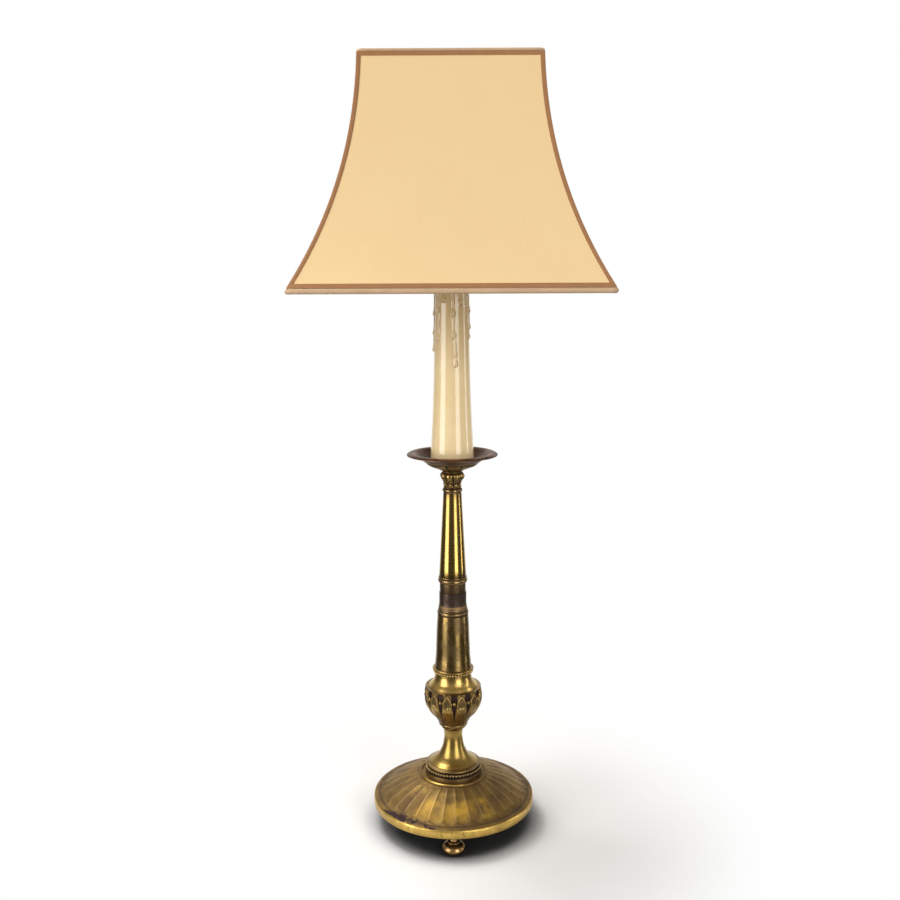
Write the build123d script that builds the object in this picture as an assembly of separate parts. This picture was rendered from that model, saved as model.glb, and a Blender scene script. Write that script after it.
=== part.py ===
from build123d import *
import math
import os

# Candle lamp with a square shade: a turned and cast brass candlestick on a fluted dish and
# three bun feet, a drip pan with a false wax candle, an E27 lamp holder on top of the candle,
# a bulb, and a square pagoda shade of fabric on a wire frame.
# Origin: on the table under the lamp's axis. +Z is up, -Y is the front, where one foot stands.
# All lengths are in millimetres.

# Gaps that every fit uses
seat_gap = 0.3
fit_gap = 0.05
slip_gap = 0.15
overrun = 1.0

# Central threaded tube that clamps the stack (M10 x 1)
tube_radius = 5.0
tube_bore = 3.5
tube_hole = 5.3
tube_below_nut = 4.0
spigot_height = 3.0
column_wall = 3.0

# Base dish
rim_radius = 104.3
rim_height = 11.9
rim_round = 3.6
rim_wall = 3.2
dish_rise = 38.5
dish_drop = 4.0
dish_top_radius = 44.6
dish_shoulder_drop = 1.0
border_width = 8.0
border_fall = 1.0
step_ring_margin = 0.4
step_ring_round = 1.6
flute_count = 32
flute_turn = 2.0
flute_depth = 0.9
flute_ridge = 0.9
flute_rise = 2.0

# Feet, under the dish
foot_count = 3
foot_height = 27.5
foot_circle = 86.0
bun_radius = 14.6
bun_height = 13.0
bun_flat_radius = 7.5
foot_disc_radius = 7.0
foot_disc_height = 2.4
foot_neck_radius = 4.8
foot_shoulder_radius = 6.4
foot_shoulder_height = 2.0
stud_radius = 3.0
stud_length = 5.0
boss_radius = 7.5

# Cover, ballast and cord bushing under the dish
rim_overlap = 1.0
cover_thickness = 1.2
ballast_inner_radius = 32.0
ballast_outer_radius = 74.0
ballast_height = 9.0
ballast_upper_radius = 56.0
ballast_upper_height = 9.0
bushing_offset = 20.0
bushing_bore = 3.6
bushing_radius = 5.6
bushing_flange_radius = 8.0
bushing_flange_height = 2.0
bushing_length = 9.0

# Hardware on the lower end of the tube
washer_radius = 20.0
washer_thickness = 2.0
nut_flats = 16.0
nut_height = 8.0

# Beaded moulding on the dish
moulding_height = 15.5
moulding_foot_radius = 37.2
moulding_foot_height = 5.0
moulding_neck_radius = 34.4
moulding_lip_height = 2.0
moulding_cavity_radius = 28.0
foot_bead_radius = 1.55
foot_bead_circle = 35.2
foot_bead_height = 9.2
foot_bead_count = 68

# Bell-shaped foot of the stem
bell_height = 45.5
bell_foot_radius = 31.4
bell_edge = 0.6
bell_neck_radius = 11.8
bell_top_radius = 12.9
bell_wall = 5.0
bell_cavity_height = 18.0

# Twisted wreath under the urn
wreath_height = 8.5
wreath_lower_radius = 13.0
wreath_upper_radius = 18.6
wreath_bulge = 1.3
wreath_strand_count = 8
wreath_strand_lean = 55.0
wreath_groove_radius = 2.4

# Urn: cup of leaves with beads between them, and a polished shoulder
cup_height = 49.5
cup_foot_radius = 18.9
cup_belly_radius = 37.4
cup_lip_radius = 36.2
cup_wall = 5.5
leaf_count = 12
leaf_turn = 2.5
leaf_gap_width = 6.4
leaf_gap_depth = 2.2
leaf_gap_low = 12.0
leaf_gap_high = 34.5
notch_width = 13.0
notch_low = 42.0
leaf_bead_radius = 2.5
leaf_bead_stand = 0.3
leaf_bead_height = 37.5
shoulder_height = 19.5
shoulder_foot_radius = 32.0
shoulder_neck_radius = 23.2
shoulder_wall = 3.0
shoulder_spigot = 3.0

# Beaded ring above the urn
beaded_ring_height = 6.0
beaded_ring_radius = 24.9
beaded_ring_round = 1.5
beaded_ring_neck = 23.3
ring_bead_radius = 1.55
ring_bead_circle = 24.3
ring_bead_height = 1.75
ring_bead_count = 43

# Column: lower tube, lower ring, band, collar, upper ring and upper tube
lower_column_height = 71.0
lower_column_foot_radius = 23.5
lower_column_waist_radius = 22.0
lower_column_top_radius = 19.6
lower_ring_height = 7.0
lower_ring_radius = 20.1
lower_ring_lip_radius = 19.0
band_height = 22.0
band_foot_radius = 18.6
band_radius = 17.3
collar_height = 12.8
collar_radius = 16.5
upper_ring_height = 8.2
upper_ring_radius = 18.8
upper_ring_lip_radius = 18.2
ring_lip_height = 1.6
upper_column_height = 107.7
upper_column_foot_radius = 17.3
upper_column_top_radius = 11.6

# Capital under the drip pan
capital_ring_height = 8.0
capital_ring_radius = 12.7
capital_ring_neck = 11.2
capital_height = 19.3
capital_foot_radius = 11.0
capital_curl_radius = 15.7
capital_top_radius = 12.4
capital_leaf_count = 8
capital_groove_depth = 1.6
capital_groove_width = 2.6
capital_cavity_radius = 8.0

# Drip pan
pan_wall = 1.6
pan_hub_radius = 12.4
pan_bowl_radius = 36.2
pan_bowl_height = 14.0
pan_ridge_radius = 49.5
pan_ridge_height = 24.3
pan_rim_radius = 56.8
pan_rim_height = 21.4

# False candle and what centres it
seat_radius = 22.0
seat_height = 7.8
seat_spigot_height = 5.0
candle_height = 226.2
candle_foot_radius = 27.5
candle_top_radius = 20.2
candle_bore = 17.6
wax_thickness = 0.8
wax_collar_height = 16.0
drip_radius = 3.0
drip_sink = 1.4
candle_cap_thickness = 2.0
candle_cap_spigot = 4.0

# Lamp holder (E27)
holder_neck_radius = 7.5
holder_neck_height = 6.0
holder_cap_radius = 18.6
holder_cap_height = 20.0
holder_wall = 1.0
holder_shell_radius = 18.6
holder_shell_height = 38.0
holder_thread_radius = 19.4
holder_thread_pitch = 2.5
holder_thread_count = 10
holder_thread_depth = 0.5
holder_cap_neck_height = 5.0
insert_height = 16.0
insert_well_radius = 9.0
insert_well_depth = 6.0
screw_shell_bore = 13.4
screw_shell_wall = 0.5
screw_shell_height = 26.0
contact_width = 5.0
contact_thickness = 0.5
contact_rise = 3.4
contact_length = 12.0
terminal_radius = 2.0
terminal_length = 5.0
terminal_offset = 12.5
grub_radius = 1.5
grub_length = 4.0
tube_in_holder = 9.0

# Shade rings on the holder's thread
ring_flange_radius = 25.5
ring_flange_thickness = 2.0
ring_sleeve_radius = 21.0
ring_sleeve_height = 6.0
knurl_count = 36
knurl_radius = 0.7
lower_ring_drop = 19.0

# Bulb (A60, E27)
bulb_thread_radius = 13.05
bulb_thread_pitch = 3.62
bulb_thread_depth = 0.9
bulb_thread_turns = 6
bulb_cap_wall = 0.4
bulb_skirt_height = 3.5
bulb_cone_height = 4.0
bulb_tip_radius = 4.4
bulb_tip_height = 1.6
bulb_radius = 30.0
bulb_length = 76.0
bulb_neck_radius = 14.4
bulb_glass_wall = 0.8
stem_radius = 6.5
stem_top_radius = 2.2
stem_height = 34.0
filament_radius = 0.5
filament_span = 26.0
filament_height = 44.0
support_radius = 0.4

# Shade: panels bent to one arc, on a wire frame, with trims over its edges
shade_height = 252.4
shade_bottom_half = 174.0
shade_top_half = 101.7
shade_sag = 16.4
shade_rise = 48.4
panel_thickness = 0.8
mitre_gap = 0.3
trim_thickness = 0.5
trim_gap = 0.05
trim_width = 6.4
corner_trim_width = 6.6
top_piping_radius = 1.7
bottom_piping_radius = 2.6
piping_corner_radius = 5.0
wire_radius = 1.6
wire_corner_radius = 6.0
spider_hole = 21.0
spider_radius = 27.0
spider_thickness = 1.5
arm_count = 4

# Levels, from the table up
rim_low = foot_height - rim_overlap
rim_top = rim_low + rim_height
dish_top = rim_low + dish_rise
moulding_top = dish_top + moulding_height
bell_top = moulding_top + bell_height
wreath_top = bell_top + wreath_height
cup_top = wreath_top + cup_height
shoulder_top = cup_top + shoulder_height
beaded_ring_top = shoulder_top + beaded_ring_height
lower_column_top = beaded_ring_top + lower_column_height
lower_ring_top = lower_column_top + lower_ring_height
band_top = lower_ring_top + band_height
collar_top = band_top + collar_height
upper_ring_top = collar_top + upper_ring_height
upper_column_top = upper_ring_top + upper_column_height
capital_ring_top = upper_column_top + capital_ring_height
capital_top = capital_ring_top + capital_height
pan_floor = capital_top + pan_wall * math.sqrt(2)
candle_low = pan_floor + seat_height
candle_top = candle_low + candle_height
holder_low = candle_top + candle_cap_thickness
holder_shell_low = holder_low + holder_cap_height
holder_top = holder_shell_low + holder_shell_height
ring_plane = holder_top - lower_ring_drop
shade_low = ring_plane - shade_rise
shade_top = shade_low + shade_height


def turned(*edges):
    """Solid turned about Z from an outline in radius and height."""
    return revolve(Plane.XZ * make_face(edges), Axis.Z)


def turned_points(points):
    """Solid turned about Z from a straight-sided outline."""
    return turned(Polyline(*points, close=True))


def ring_of_holes(radius, low, high, bore):
    """Plain tube between two heights."""
    outline = [(bore, low), (radius, low), (radius, high), (bore, high)]
    return turned_points(outline)


def around(count, first, item):
    """Copies of an item, evenly turned about Z."""
    step = 360 / count
    return [Rot(0, 0, first + step * index) * item for index in range(count)]


def radial(distance, height=0):
    """Place on the front side, at a distance from the axis."""
    return Pos(0, -distance, height)


def bulged(lower, upper, bulge):
    """Arc between two outline points, bowed outwards."""
    middle_radius = (lower[0] + upper[0]) / 2 + bulge
    middle_height = (lower[1] + upper[1]) / 2
    return ThreePointArc(lower, (middle_radius, middle_height), upper)


def shaped(inner_radius, outer_radius, low, high, shares):
    """Outline points from shares of a radius range and a height range."""
    radius_range = outer_radius - inner_radius
    height_range = high - low
    return [(inner_radius + radius_range * across, low + height_range * up) for across, up in shares]


# Outline of the dish from its flat top to its border, as shares of run and fall
dish_curve_shares = [(0, 1), (0.2, 0.91), (0.49, 0.645), (0.76, 0.325), (0.93, 0.075), (1, 0)]
flute_section_shares = [(0.03, 0.25), (0.2, 0.8), (0.45, 1), (0.7, 1), (0.93, 1), (1, 0.1)]
border_radius = rim_radius - border_width
border_height = rim_top + border_fall
slope_top = dish_top - dish_shoulder_drop
slope_start = (1, -0.15)
slope_end = (1, -0.35)
boss_depth_share = 0.7


def dish_points(drop):
    """Points of the fluted slope, lowered by a wall's drop."""
    points = shaped(dish_top_radius, border_radius, border_height, slope_top, dish_curve_shares)
    return [(radius, height - drop) for radius, height in points]


def dish_slope(drop):
    """Curve of the fluted slope, lowered by a wall's drop."""
    return Spline(dish_points(drop), tangents=[slope_start, slope_end])


def flute_section(slope, along, depth_share):
    """One cross-section of a flute's cutter, square to the slope."""
    point = slope @ along
    tangent = slope % along
    half_turn = math.pi / flute_count
    half_width = half_turn * point.X - flute_ridge / 2
    ridge_drop = point.X * (1 - math.cos(half_turn)) * abs(tangent.Y)
    sweep_radius = (half_width**2 + flute_depth**2) / (2 * flute_depth)
    sink = (flute_depth + ridge_drop) * depth_share
    height = sink + flute_rise
    half_chord = math.sqrt(sweep_radius**2 - (sweep_radius - height) ** 2)
    frame = Plane(
        origin=(0, -point.X, point.Y),
        x_dir=(1, 0, 0),
        z_dir=(0, -tangent.X, tangent.Y),
    )
    rise = flute_rise if frame.y_dir.Z > 0 else -flute_rise
    low = -sink if frame.y_dir.Z > 0 else sink
    arc = ThreePointArc((-half_chord, rise), (0, low), (half_chord, rise))
    chord = Line((half_chord, rise), (-half_chord, rise))
    return frame * make_face([arc, chord])


def base_dish():
    """Cast dish with its flutes, stepped ring, rolled rim and foot bosses."""
    slope = dish_slope(0)
    start = dish_points(0)[0]
    end = dish_points(0)[-1]
    under = dish_slope(dish_drop)
    under_end = dish_points(dish_drop)[-1]
    ceiling = dish_top - dish_drop
    rim_inner = rim_radius - rim_wall
    rounded = rim_round * (1 - math.sqrt(1 / 2))
    rim_arc = ThreePointArc(
        (rim_radius - rim_round, rim_top),
        (rim_radius - rounded, rim_top - rounded),
        (rim_radius, rim_top - rim_round),
    )
    step_high = dish_top_radius - step_ring_margin
    step_low = step_high - step_ring_round * 2
    body = turned(
        Line((tube_hole, dish_top), (step_low, dish_top)),
        ThreePointArc(
            (step_low, dish_top),
            (step_low + step_ring_round, dish_top + step_ring_round),
            (step_high, dish_top),
        ),
        Polyline((step_high, dish_top), (dish_top_radius, dish_top), start),
        slope,
        Line(end, (rim_radius - rim_round, rim_top)),
        rim_arc,
        Polyline((rim_radius, rim_top - rim_round), (rim_radius, rim_low), (rim_inner, rim_low)),
        Polyline((rim_inner, rim_low), (rim_inner, under_end[1]), under_end),
        under,
        Polyline(
            dish_points(dish_drop)[0],
            (dish_top_radius, ceiling),
            (tube_hole, ceiling),
            (tube_hole, dish_top),
        ),
    )
    sections = [flute_section(slope, along, depth) for along, depth in flute_section_shares]
    cutter = loft(sections)
    body = body - around(flute_count, flute_turn + 180 / flute_count, cutter)
    boss_low = foot_height + cover_thickness
    boss = Cylinder(
        boss_radius,
        dish_top - boss_low,
        align=(Align.CENTER, Align.CENTER, Align.MIN),
    )
    limit = boss_limit()
    hole = Cylinder(
        stud_radius + fit_gap,
        stud_length + overrun,
        align=(Align.CENTER, Align.CENTER, Align.MIN),
    )
    for turn in foot_turns():
        body = body + (Rot(0, 0, turn) * radial(foot_circle, boss_low) * boss & limit)
        body = body - Rot(0, 0, turn) * radial(foot_circle, boss_low) * hole
    return body


def boss_limit():
    """Space under the middle of the dish's wall, in which the foot bosses end."""
    middle = dish_slope(dish_drop * boss_depth_share)
    start = dish_points(dish_drop * boss_depth_share)[0]
    end = dish_points(dish_drop * boss_depth_share)[-1]
    return turned(middle, Polyline(end, (end[0], rim_low), (0, rim_low), (0, start[1]), start))


def foot_turns():
    return [index * 360 / foot_count for index in range(foot_count)]


def foot():
    """Turned bun foot with its disc, neck, shoulder and threaded stud."""
    disc_low = bun_height
    disc_high = disc_low + foot_disc_height
    shoulder_low = foot_height - foot_shoulder_height
    stud_top = foot_height + cover_thickness + stud_length
    bun_middle = bun_height / 2
    profile = turned(
        Line((0, 0), (bun_flat_radius, 0)),
        Spline(
            (bun_flat_radius, 0),
            (bun_radius, bun_middle),
            (foot_disc_radius, disc_low),
            tangents=[(1, 0.25), (-1, 0.25)],
        ),
        bulged((foot_disc_radius, disc_low), (foot_disc_radius, disc_high), foot_disc_height / 2),
        Line((foot_disc_radius, disc_high), (foot_neck_radius, disc_high)),
        bulged((foot_neck_radius, disc_high), (foot_neck_radius, shoulder_low), -foot_neck_radius / 6),
        Polyline(
            (foot_neck_radius, shoulder_low),
            (foot_shoulder_radius, shoulder_low),
            (foot_shoulder_radius, foot_height),
            (stud_radius, foot_height),
            (stud_radius, stud_top),
            (0, stud_top),
            (0, 0),
        ),
    )
    return radial(foot_circle) * profile


def bottom_cover():
    """Sheet that closes the dish, held by the feet."""
    radius = rim_radius - rim_wall - seat_gap
    cover = ring_of_holes(radius, foot_height, foot_height + cover_thickness, 0)
    hole = Cylinder(stud_radius + slip_gap, cover_thickness * 3)
    for turn in foot_turns():
        cover = cover - Rot(0, 0, turn) * radial(foot_circle, foot_height) * hole
    bushing_hole = Cylinder(bushing_radius + fit_gap, cover_thickness * 3)
    return cover - Pos(0, bushing_offset, foot_height) * bushing_hole


def ballast_weight():
    """Cast-iron ring that lies on the cover and keeps the tall lamp upright."""
    low = foot_height + cover_thickness
    step = low + ballast_height
    high = step + ballast_upper_height
    return turned_points(
        [
            (ballast_inner_radius, low),
            (ballast_outer_radius, low),
            (ballast_outer_radius, step),
            (ballast_upper_radius, high),
            (ballast_inner_radius, high),
        ]
    )


def cord_bushing():
    """Flanged bushing through which a cord would enter, pressed into the cover."""
    low = foot_height - bushing_flange_height
    high = low + bushing_length
    bushing = turned_points(
        [
            (bushing_bore, low),
            (bushing_flange_radius, low),
            (bushing_flange_radius, foot_height),
            (bushing_radius, foot_height),
            (bushing_radius, high),
            (bushing_bore, high),
        ]
    )
    return Pos(0, bushing_offset, 0) * bushing


def central_tube():
    """Threaded tube from under the dish to the lamp holder."""
    low = dish_top - dish_drop - washer_thickness - nut_height - tube_below_nut
    high = holder_low + tube_in_holder
    return ring_of_holes(tube_radius, low, high, tube_bore)


def base_washer():
    high = dish_top - dish_drop
    return ring_of_holes(washer_radius, high - washer_thickness, high, tube_hole)


def base_nut():
    """Hexagon nut that pulls the whole stack together."""
    low = dish_top - dish_drop - washer_thickness - nut_height
    outline = RegularPolygon(nut_flats / 2, 6, major_radius=False)
    nut = extrude(outline, nut_height) - Cylinder(tube_radius + fit_gap, nut_height * 3)
    return Pos(0, 0, low) * nut


def bead_row(count, circle, bead_radius, height):
    """Row of round beads on one circle."""
    return around(count, 0, radial(circle, height) * Sphere(bead_radius))


def foot_moulding():
    """Stepped moulding between dish and bell, with a row of beads."""
    foot_high = dish_top + moulding_foot_height
    lip_high = moulding_top - moulding_lip_height / 2
    lip_low = lip_high - moulding_lip_height
    body = turned(
        Polyline(
            (moulding_cavity_radius, moulding_top),
            (moulding_cavity_radius, dish_top),
            (moulding_foot_radius, dish_top),
        ),
        bulged((moulding_foot_radius, dish_top), (moulding_foot_radius, foot_high), -foot_bead_radius / 2),
        Line((moulding_foot_radius, foot_high), (moulding_neck_radius, foot_high + foot_bead_radius)),
        Line((moulding_neck_radius, foot_high + foot_bead_radius), (moulding_neck_radius, lip_low)),
        bulged((moulding_neck_radius, lip_low), (moulding_neck_radius, lip_high), moulding_lip_height / 2),
        Polyline(
            (moulding_neck_radius, lip_high),
            (bell_foot_radius, moulding_top),
            (moulding_cavity_radius, moulding_top),
        ),
    )
    beads = bead_row(foot_bead_count, foot_bead_circle, foot_bead_radius, dish_top + foot_bead_height)
    return body + beads


bell_curve_shares = [
    (1, 0),
    (0.66, 0.1),
    (0.45, 0.178),
    (0.33, 0.247),
    (0.235, 0.318),
    (0.115, 0.45),
    (0.035, 0.622),
    (0, 0.8),
]


def bell_foot():
    """Bell-shaped foot of the stem, hollow inside."""
    low = moulding_top + bell_edge
    points = shaped(bell_neck_radius, bell_foot_radius, low, bell_top, bell_curve_shares)
    flare = Spline(*points, (bell_top_radius, bell_top))
    cavity_top = moulding_top + bell_cavity_height
    return turned(
        flare,
        Polyline(
            (bell_top_radius, bell_top),
            (tube_hole, bell_top),
            (tube_hole, cavity_top),
            (bell_foot_radius - bell_wall, moulding_top),
            (bell_foot_radius, moulding_top),
            (bell_foot_radius, low),
        ),
    )


def wreath_ring():
    """Tapered wreath of twisted strands under the urn."""
    body = turned(
        Line((tube_hole, bell_top), (wreath_lower_radius, bell_top)),
        bulged((wreath_lower_radius, bell_top), (wreath_upper_radius, wreath_top), wreath_bulge),
        Polyline((wreath_upper_radius, wreath_top), (tube_hole, wreath_top), (tube_hole, bell_top)),
    )
    middle = (wreath_lower_radius + wreath_upper_radius) / 2 + wreath_bulge + wreath_groove_radius / 2
    lean = math.degrees(math.atan2(wreath_upper_radius - wreath_lower_radius, wreath_height))
    place = radial(middle, (bell_top + wreath_top) / 2) * Rot(lean, 0, 0) * Rot(0, wreath_strand_lean, 0)
    cutter = place * Cylinder(wreath_groove_radius, wreath_height * 3)
    return body - around(wreath_strand_count, 0, cutter)


cup_curve_shares = [
    (0, 0),
    (0.09, 0.065),
    (0.19, 0.137),
    (0.4, 0.226),
    (0.59, 0.3),
    (0.74, 0.392),
    (0.9, 0.511),
    (1, 0.717),
]
cup_cavity_shares = [(0.35, 0.2), (0.82, 0.45), (1, 0.75)]


def tangent_wedge(half_top, half_bottom, low, high, depth, radius):
    """Prism that cuts a leaf gap or a notch into the front of the cup."""
    outline = Polyline(
        (-half_top, high),
        (half_top, high),
        (half_bottom, low),
        (-half_bottom, low),
        close=True,
    )
    face = Plane.XZ * make_face(outline)
    return Pos(0, depth - radius, 0) * extrude(face, depth + overrun)


def leaf_cup():
    """Cast cup of broad leaves with a bead in every gap."""
    belly = shaped(cup_foot_radius, cup_belly_radius, wreath_top, cup_top, cup_curve_shares)
    inner = cup_lip_radius - cup_wall
    cavity = shaped(0, inner, wreath_top, cup_top, cup_cavity_shares)
    body = turned(
        Line((tube_hole, wreath_top), (cup_foot_radius, wreath_top)),
        Spline(*belly, (cup_lip_radius, cup_top)),
        Polyline(
            (cup_lip_radius, cup_top),
            (inner, cup_top),
            *reversed(cavity),
            (tube_hole, cavity[0][1]),
            (tube_hole, wreath_top),
        ),
    )
    gap = tangent_wedge(
        leaf_gap_width / 2,
        leaf_gap_depth / 4,
        wreath_top + leaf_gap_low,
        wreath_top + leaf_gap_high,
        leaf_gap_depth * 3,
        cup_belly_radius,
    )
    skin = leaf_skin(belly)
    notch = tangent_wedge(
        notch_width / 2,
        leaf_gap_width / 4,
        wreath_top + notch_low,
        cup_top + overrun,
        leaf_gap_depth * 2,
        cup_belly_radius,
    )
    cutters = [gap & skin, notch & skin]
    for cutter in cutters:
        body = body - around(leaf_count, leaf_turn, cutter)
    bead_circle = cup_belly_radius - leaf_bead_radius + leaf_bead_stand
    bead = radial(bead_circle, wreath_top + leaf_bead_height) * Sphere(leaf_bead_radius)
    return body + around(leaf_count, leaf_turn, bead)


def leaf_skin(belly):
    """Layer under the cup's surface that the gaps between leaves reach into."""
    outside = cup_belly_radius + leaf_gap_depth + overrun
    low = wreath_top
    high = cup_top + overrun * 2
    inner = [(radius - leaf_gap_depth, height) for radius, height in belly]
    lip = (cup_lip_radius - leaf_gap_depth, cup_top)
    return turned(
        Spline(*inner, lip),
        Polyline(
            lip,
            (lip[0], high),
            (outside, high),
            (outside, low),
            inner[0],
        ),
    )


shoulder_curve_shares = [
    (1, 0),
    (0.83, 0.103),
    (0.66, 0.2),
    (0.44, 0.3),
    (0.28, 0.405),
    (0.15, 0.523),
    (0.04, 0.744),
]


def urn_shoulder():
    """Polished shoulder that closes the cup and carries the column."""
    points = shaped(shoulder_neck_radius, shoulder_foot_radius, cup_top, shoulder_top, shoulder_curve_shares)
    spigot = cup_lip_radius - cup_wall - slip_gap
    neck_bore = shoulder_neck_radius - shoulder_wall
    spigot_bore = spigot - shoulder_wall
    return turned(
        Spline(*points, (shoulder_neck_radius, shoulder_top)),
        Polyline(
            (shoulder_neck_radius, shoulder_top),
            (neck_bore, shoulder_top),
            (neck_bore, cup_top + shoulder_wall),
            (spigot_bore, cup_top),
            (spigot_bore, cup_top - shoulder_spigot),
            (spigot, cup_top - shoulder_spigot),
            (spigot, cup_top),
            (shoulder_foot_radius, cup_top),
        ),
    )


def spigoted(outline, low, high, bore_below, bore_above):
    """Ring whose two spigots centre it in the pieces below and above it."""
    below = bore_below - slip_gap
    above = bore_above - slip_gap
    ring = turned(*outline)
    lower_spigot = ring_of_holes(below, low - spigot_height, low, tube_hole)
    upper_spigot = ring_of_holes(above, high, high + spigot_height, tube_hole)
    return ring + lower_spigot + upper_spigot


def beaded_ring():
    """Ring with a rolled lip over a row of small beads."""
    low = shoulder_top
    high = beaded_ring_top
    lip = high - beaded_ring_round * 2
    outline = [
        Line((tube_hole, low), (beaded_ring_neck, low)),
        Line((beaded_ring_neck, low), (beaded_ring_neck, lip)),
        Line((beaded_ring_neck, lip), (beaded_ring_radius, lip)),
        bulged((beaded_ring_radius, lip), (beaded_ring_radius, high), beaded_ring_round),
        Polyline((beaded_ring_radius, high), (tube_hole, high), (tube_hole, low)),
    ]
    shoulder_bore = shoulder_neck_radius - shoulder_wall
    column_bore = lower_column_foot_radius - column_wall
    ring = spigoted(outline, low, high, shoulder_bore, column_bore)
    return ring + bead_row(ring_bead_count, ring_bead_circle, ring_bead_radius, low + ring_bead_height)


def lower_column():
    """Worn lower tube of the column, flared at its foot."""
    low = beaded_ring_top
    high = lower_column_top
    waist = low + lower_column_height / 4
    return turned(
        Spline(
            (lower_column_foot_radius, low),
            (lower_column_waist_radius, waist),
            (lower_column_top_radius, high),
        ),
        Polyline(
            (lower_column_top_radius, high),
            (lower_column_top_radius - column_wall, high),
            (lower_column_top_radius - column_wall, high - spigot_height * 2),
            (lower_column_foot_radius - column_wall, low + spigot_height * 2),
            (lower_column_foot_radius - column_wall, low),
            (lower_column_foot_radius, low),
        ),
    )


def ring_outline(low, high, radius, lip_radius):
    """Half-round ring with a thin lip on top."""
    lip = high - ring_lip_height
    round_half = (lip - low) / 2
    base = radius - round_half
    return [
        Line((tube_hole, low), (base, low)),
        bulged((base, low), (base, lip), round_half),
        Line((base, lip), (lip_radius - ring_lip_height / 2, lip)),
        bulged(
            (lip_radius - ring_lip_height / 2, lip),
            (lip_radius - ring_lip_height / 2, high),
            ring_lip_height / 2,
        ),
        Polyline((lip_radius - ring_lip_height / 2, high), (tube_hole, high), (tube_hole, low)),
    ]


def lower_ring():
    low = lower_column_top
    high = lower_ring_top
    outline = ring_outline(low, high, lower_ring_radius, lower_ring_lip_radius)
    below = lower_column_top_radius - column_wall
    above = band_radius - column_wall
    return spigoted(outline, low, high, below, above)


def column_band():
    """Dark patinated band, flared down to the lower ring."""
    low = lower_ring_top
    high = band_top
    flare = low + band_height / 2
    bore = band_radius - column_wall
    return turned(
        Spline(
            (band_foot_radius, low),
            (band_radius, flare),
            tangents=[(-0.6, 1), (0, 1)],
        ),
        Polyline(
            (band_radius, flare),
            (band_radius, high),
            (bore, high),
            (bore, low),
            (band_foot_radius, low),
        ),
    )


def column_collar():
    """Plain collar between the band and the upper ring, with a spigot into the band."""
    low = band_top
    high = collar_top
    bore = collar_radius - column_wall
    spigot = band_radius - column_wall - slip_gap
    return turned_points(
        [
            (tube_hole, low - spigot_height),
            (spigot, low - spigot_height),
            (spigot, low),
            (collar_radius, low),
            (collar_radius, high),
            (bore, high),
            (bore, low + spigot_height),
            (tube_hole, low + spigot_height),
        ]
    )


def upper_ring():
    low = collar_top
    high = upper_ring_top
    outline = ring_outline(low, high, upper_ring_radius, upper_ring_lip_radius)
    below = collar_radius - column_wall
    above = upper_column_foot_radius - column_wall
    return spigoted(outline, low, high, below, above)


def upper_column():
    """Polished upper tube, tapered to the capital."""
    low = upper_ring_top
    high = upper_column_top
    foot_bore = upper_column_foot_radius - column_wall
    top_bore = upper_column_top_radius - column_wall
    return turned_points(
        [
            (foot_bore, low),
            (upper_column_foot_radius, low),
            (upper_column_top_radius, high),
            (top_bore, high),
            (top_bore, high - spigot_height * 2),
            (foot_bore, low + spigot_height * 2),
        ]
    )


def capital_ring():
    """Half-round ring between the column and the capital."""
    low = upper_column_top
    high = capital_ring_top
    round_half = capital_ring_height / 4
    middle = (low + high) / 2
    base = capital_ring_radius - round_half
    outline = [
        Polyline((tube_hole, low), (capital_ring_neck, low), (capital_ring_neck, middle - round_half)),
        Line((capital_ring_neck, middle - round_half), (base, middle - round_half)),
        bulged((base, middle - round_half), (base, middle + round_half), round_half),
        Line((base, middle + round_half), (capital_ring_neck, middle + round_half)),
        Polyline(
            (capital_ring_neck, middle + round_half),
            (capital_ring_neck, high),
            (tube_hole, high),
            (tube_hole, low),
        ),
    ]
    below = upper_column_top_radius - column_wall
    return spigoted(outline, low, high, below, capital_cavity_radius)


capital_curve_shares = [(0, 0), (0.25, 0.17), (0.66, 0.43), (0.95, 0.64)]
capital_curl_share = 0.76
capital_groove_share = 0.14


def leaf_capital():
    """Small capital of curled leaves under the drip pan."""
    low = capital_ring_top
    high = capital_top
    points = shaped(capital_foot_radius, capital_curl_radius, low, high, capital_curve_shares)
    curl = low + capital_height * capital_curl_share
    body = turned(
        Line((capital_cavity_radius, low), (capital_foot_radius, low)),
        Spline(*points, (capital_curl_radius, curl), (capital_top_radius, high)),
        Polyline((capital_top_radius, high), (tube_hole, high), (tube_hole, high - capital_groove_width)),
        Polyline(
            (tube_hole, high - capital_groove_width),
            (capital_cavity_radius, high - capital_groove_width * 2),
            (capital_cavity_radius, low),
        ),
    )
    face = Plane.XZ * make_face(
        Polyline(
            (0, low + capital_height * capital_groove_share),
            (capital_groove_width / 2, high + overrun),
            (-capital_groove_width / 2, high + overrun),
            close=True,
        )
    )
    groove = Pos(0, capital_groove_depth - capital_curl_radius, 0) * extrude(face, capital_curl_radius)
    return body - around(capital_leaf_count, 180 / capital_leaf_count, groove)


pan_bowl_shares = [(0, 0.07), (0.12, 0.19), (0.5, 0.45), (0.73, 0.615), (1, 1)]
pan_flange_shares = [(0.3, 0.3), (0.62, 0.64), (1, 1)]


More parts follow.
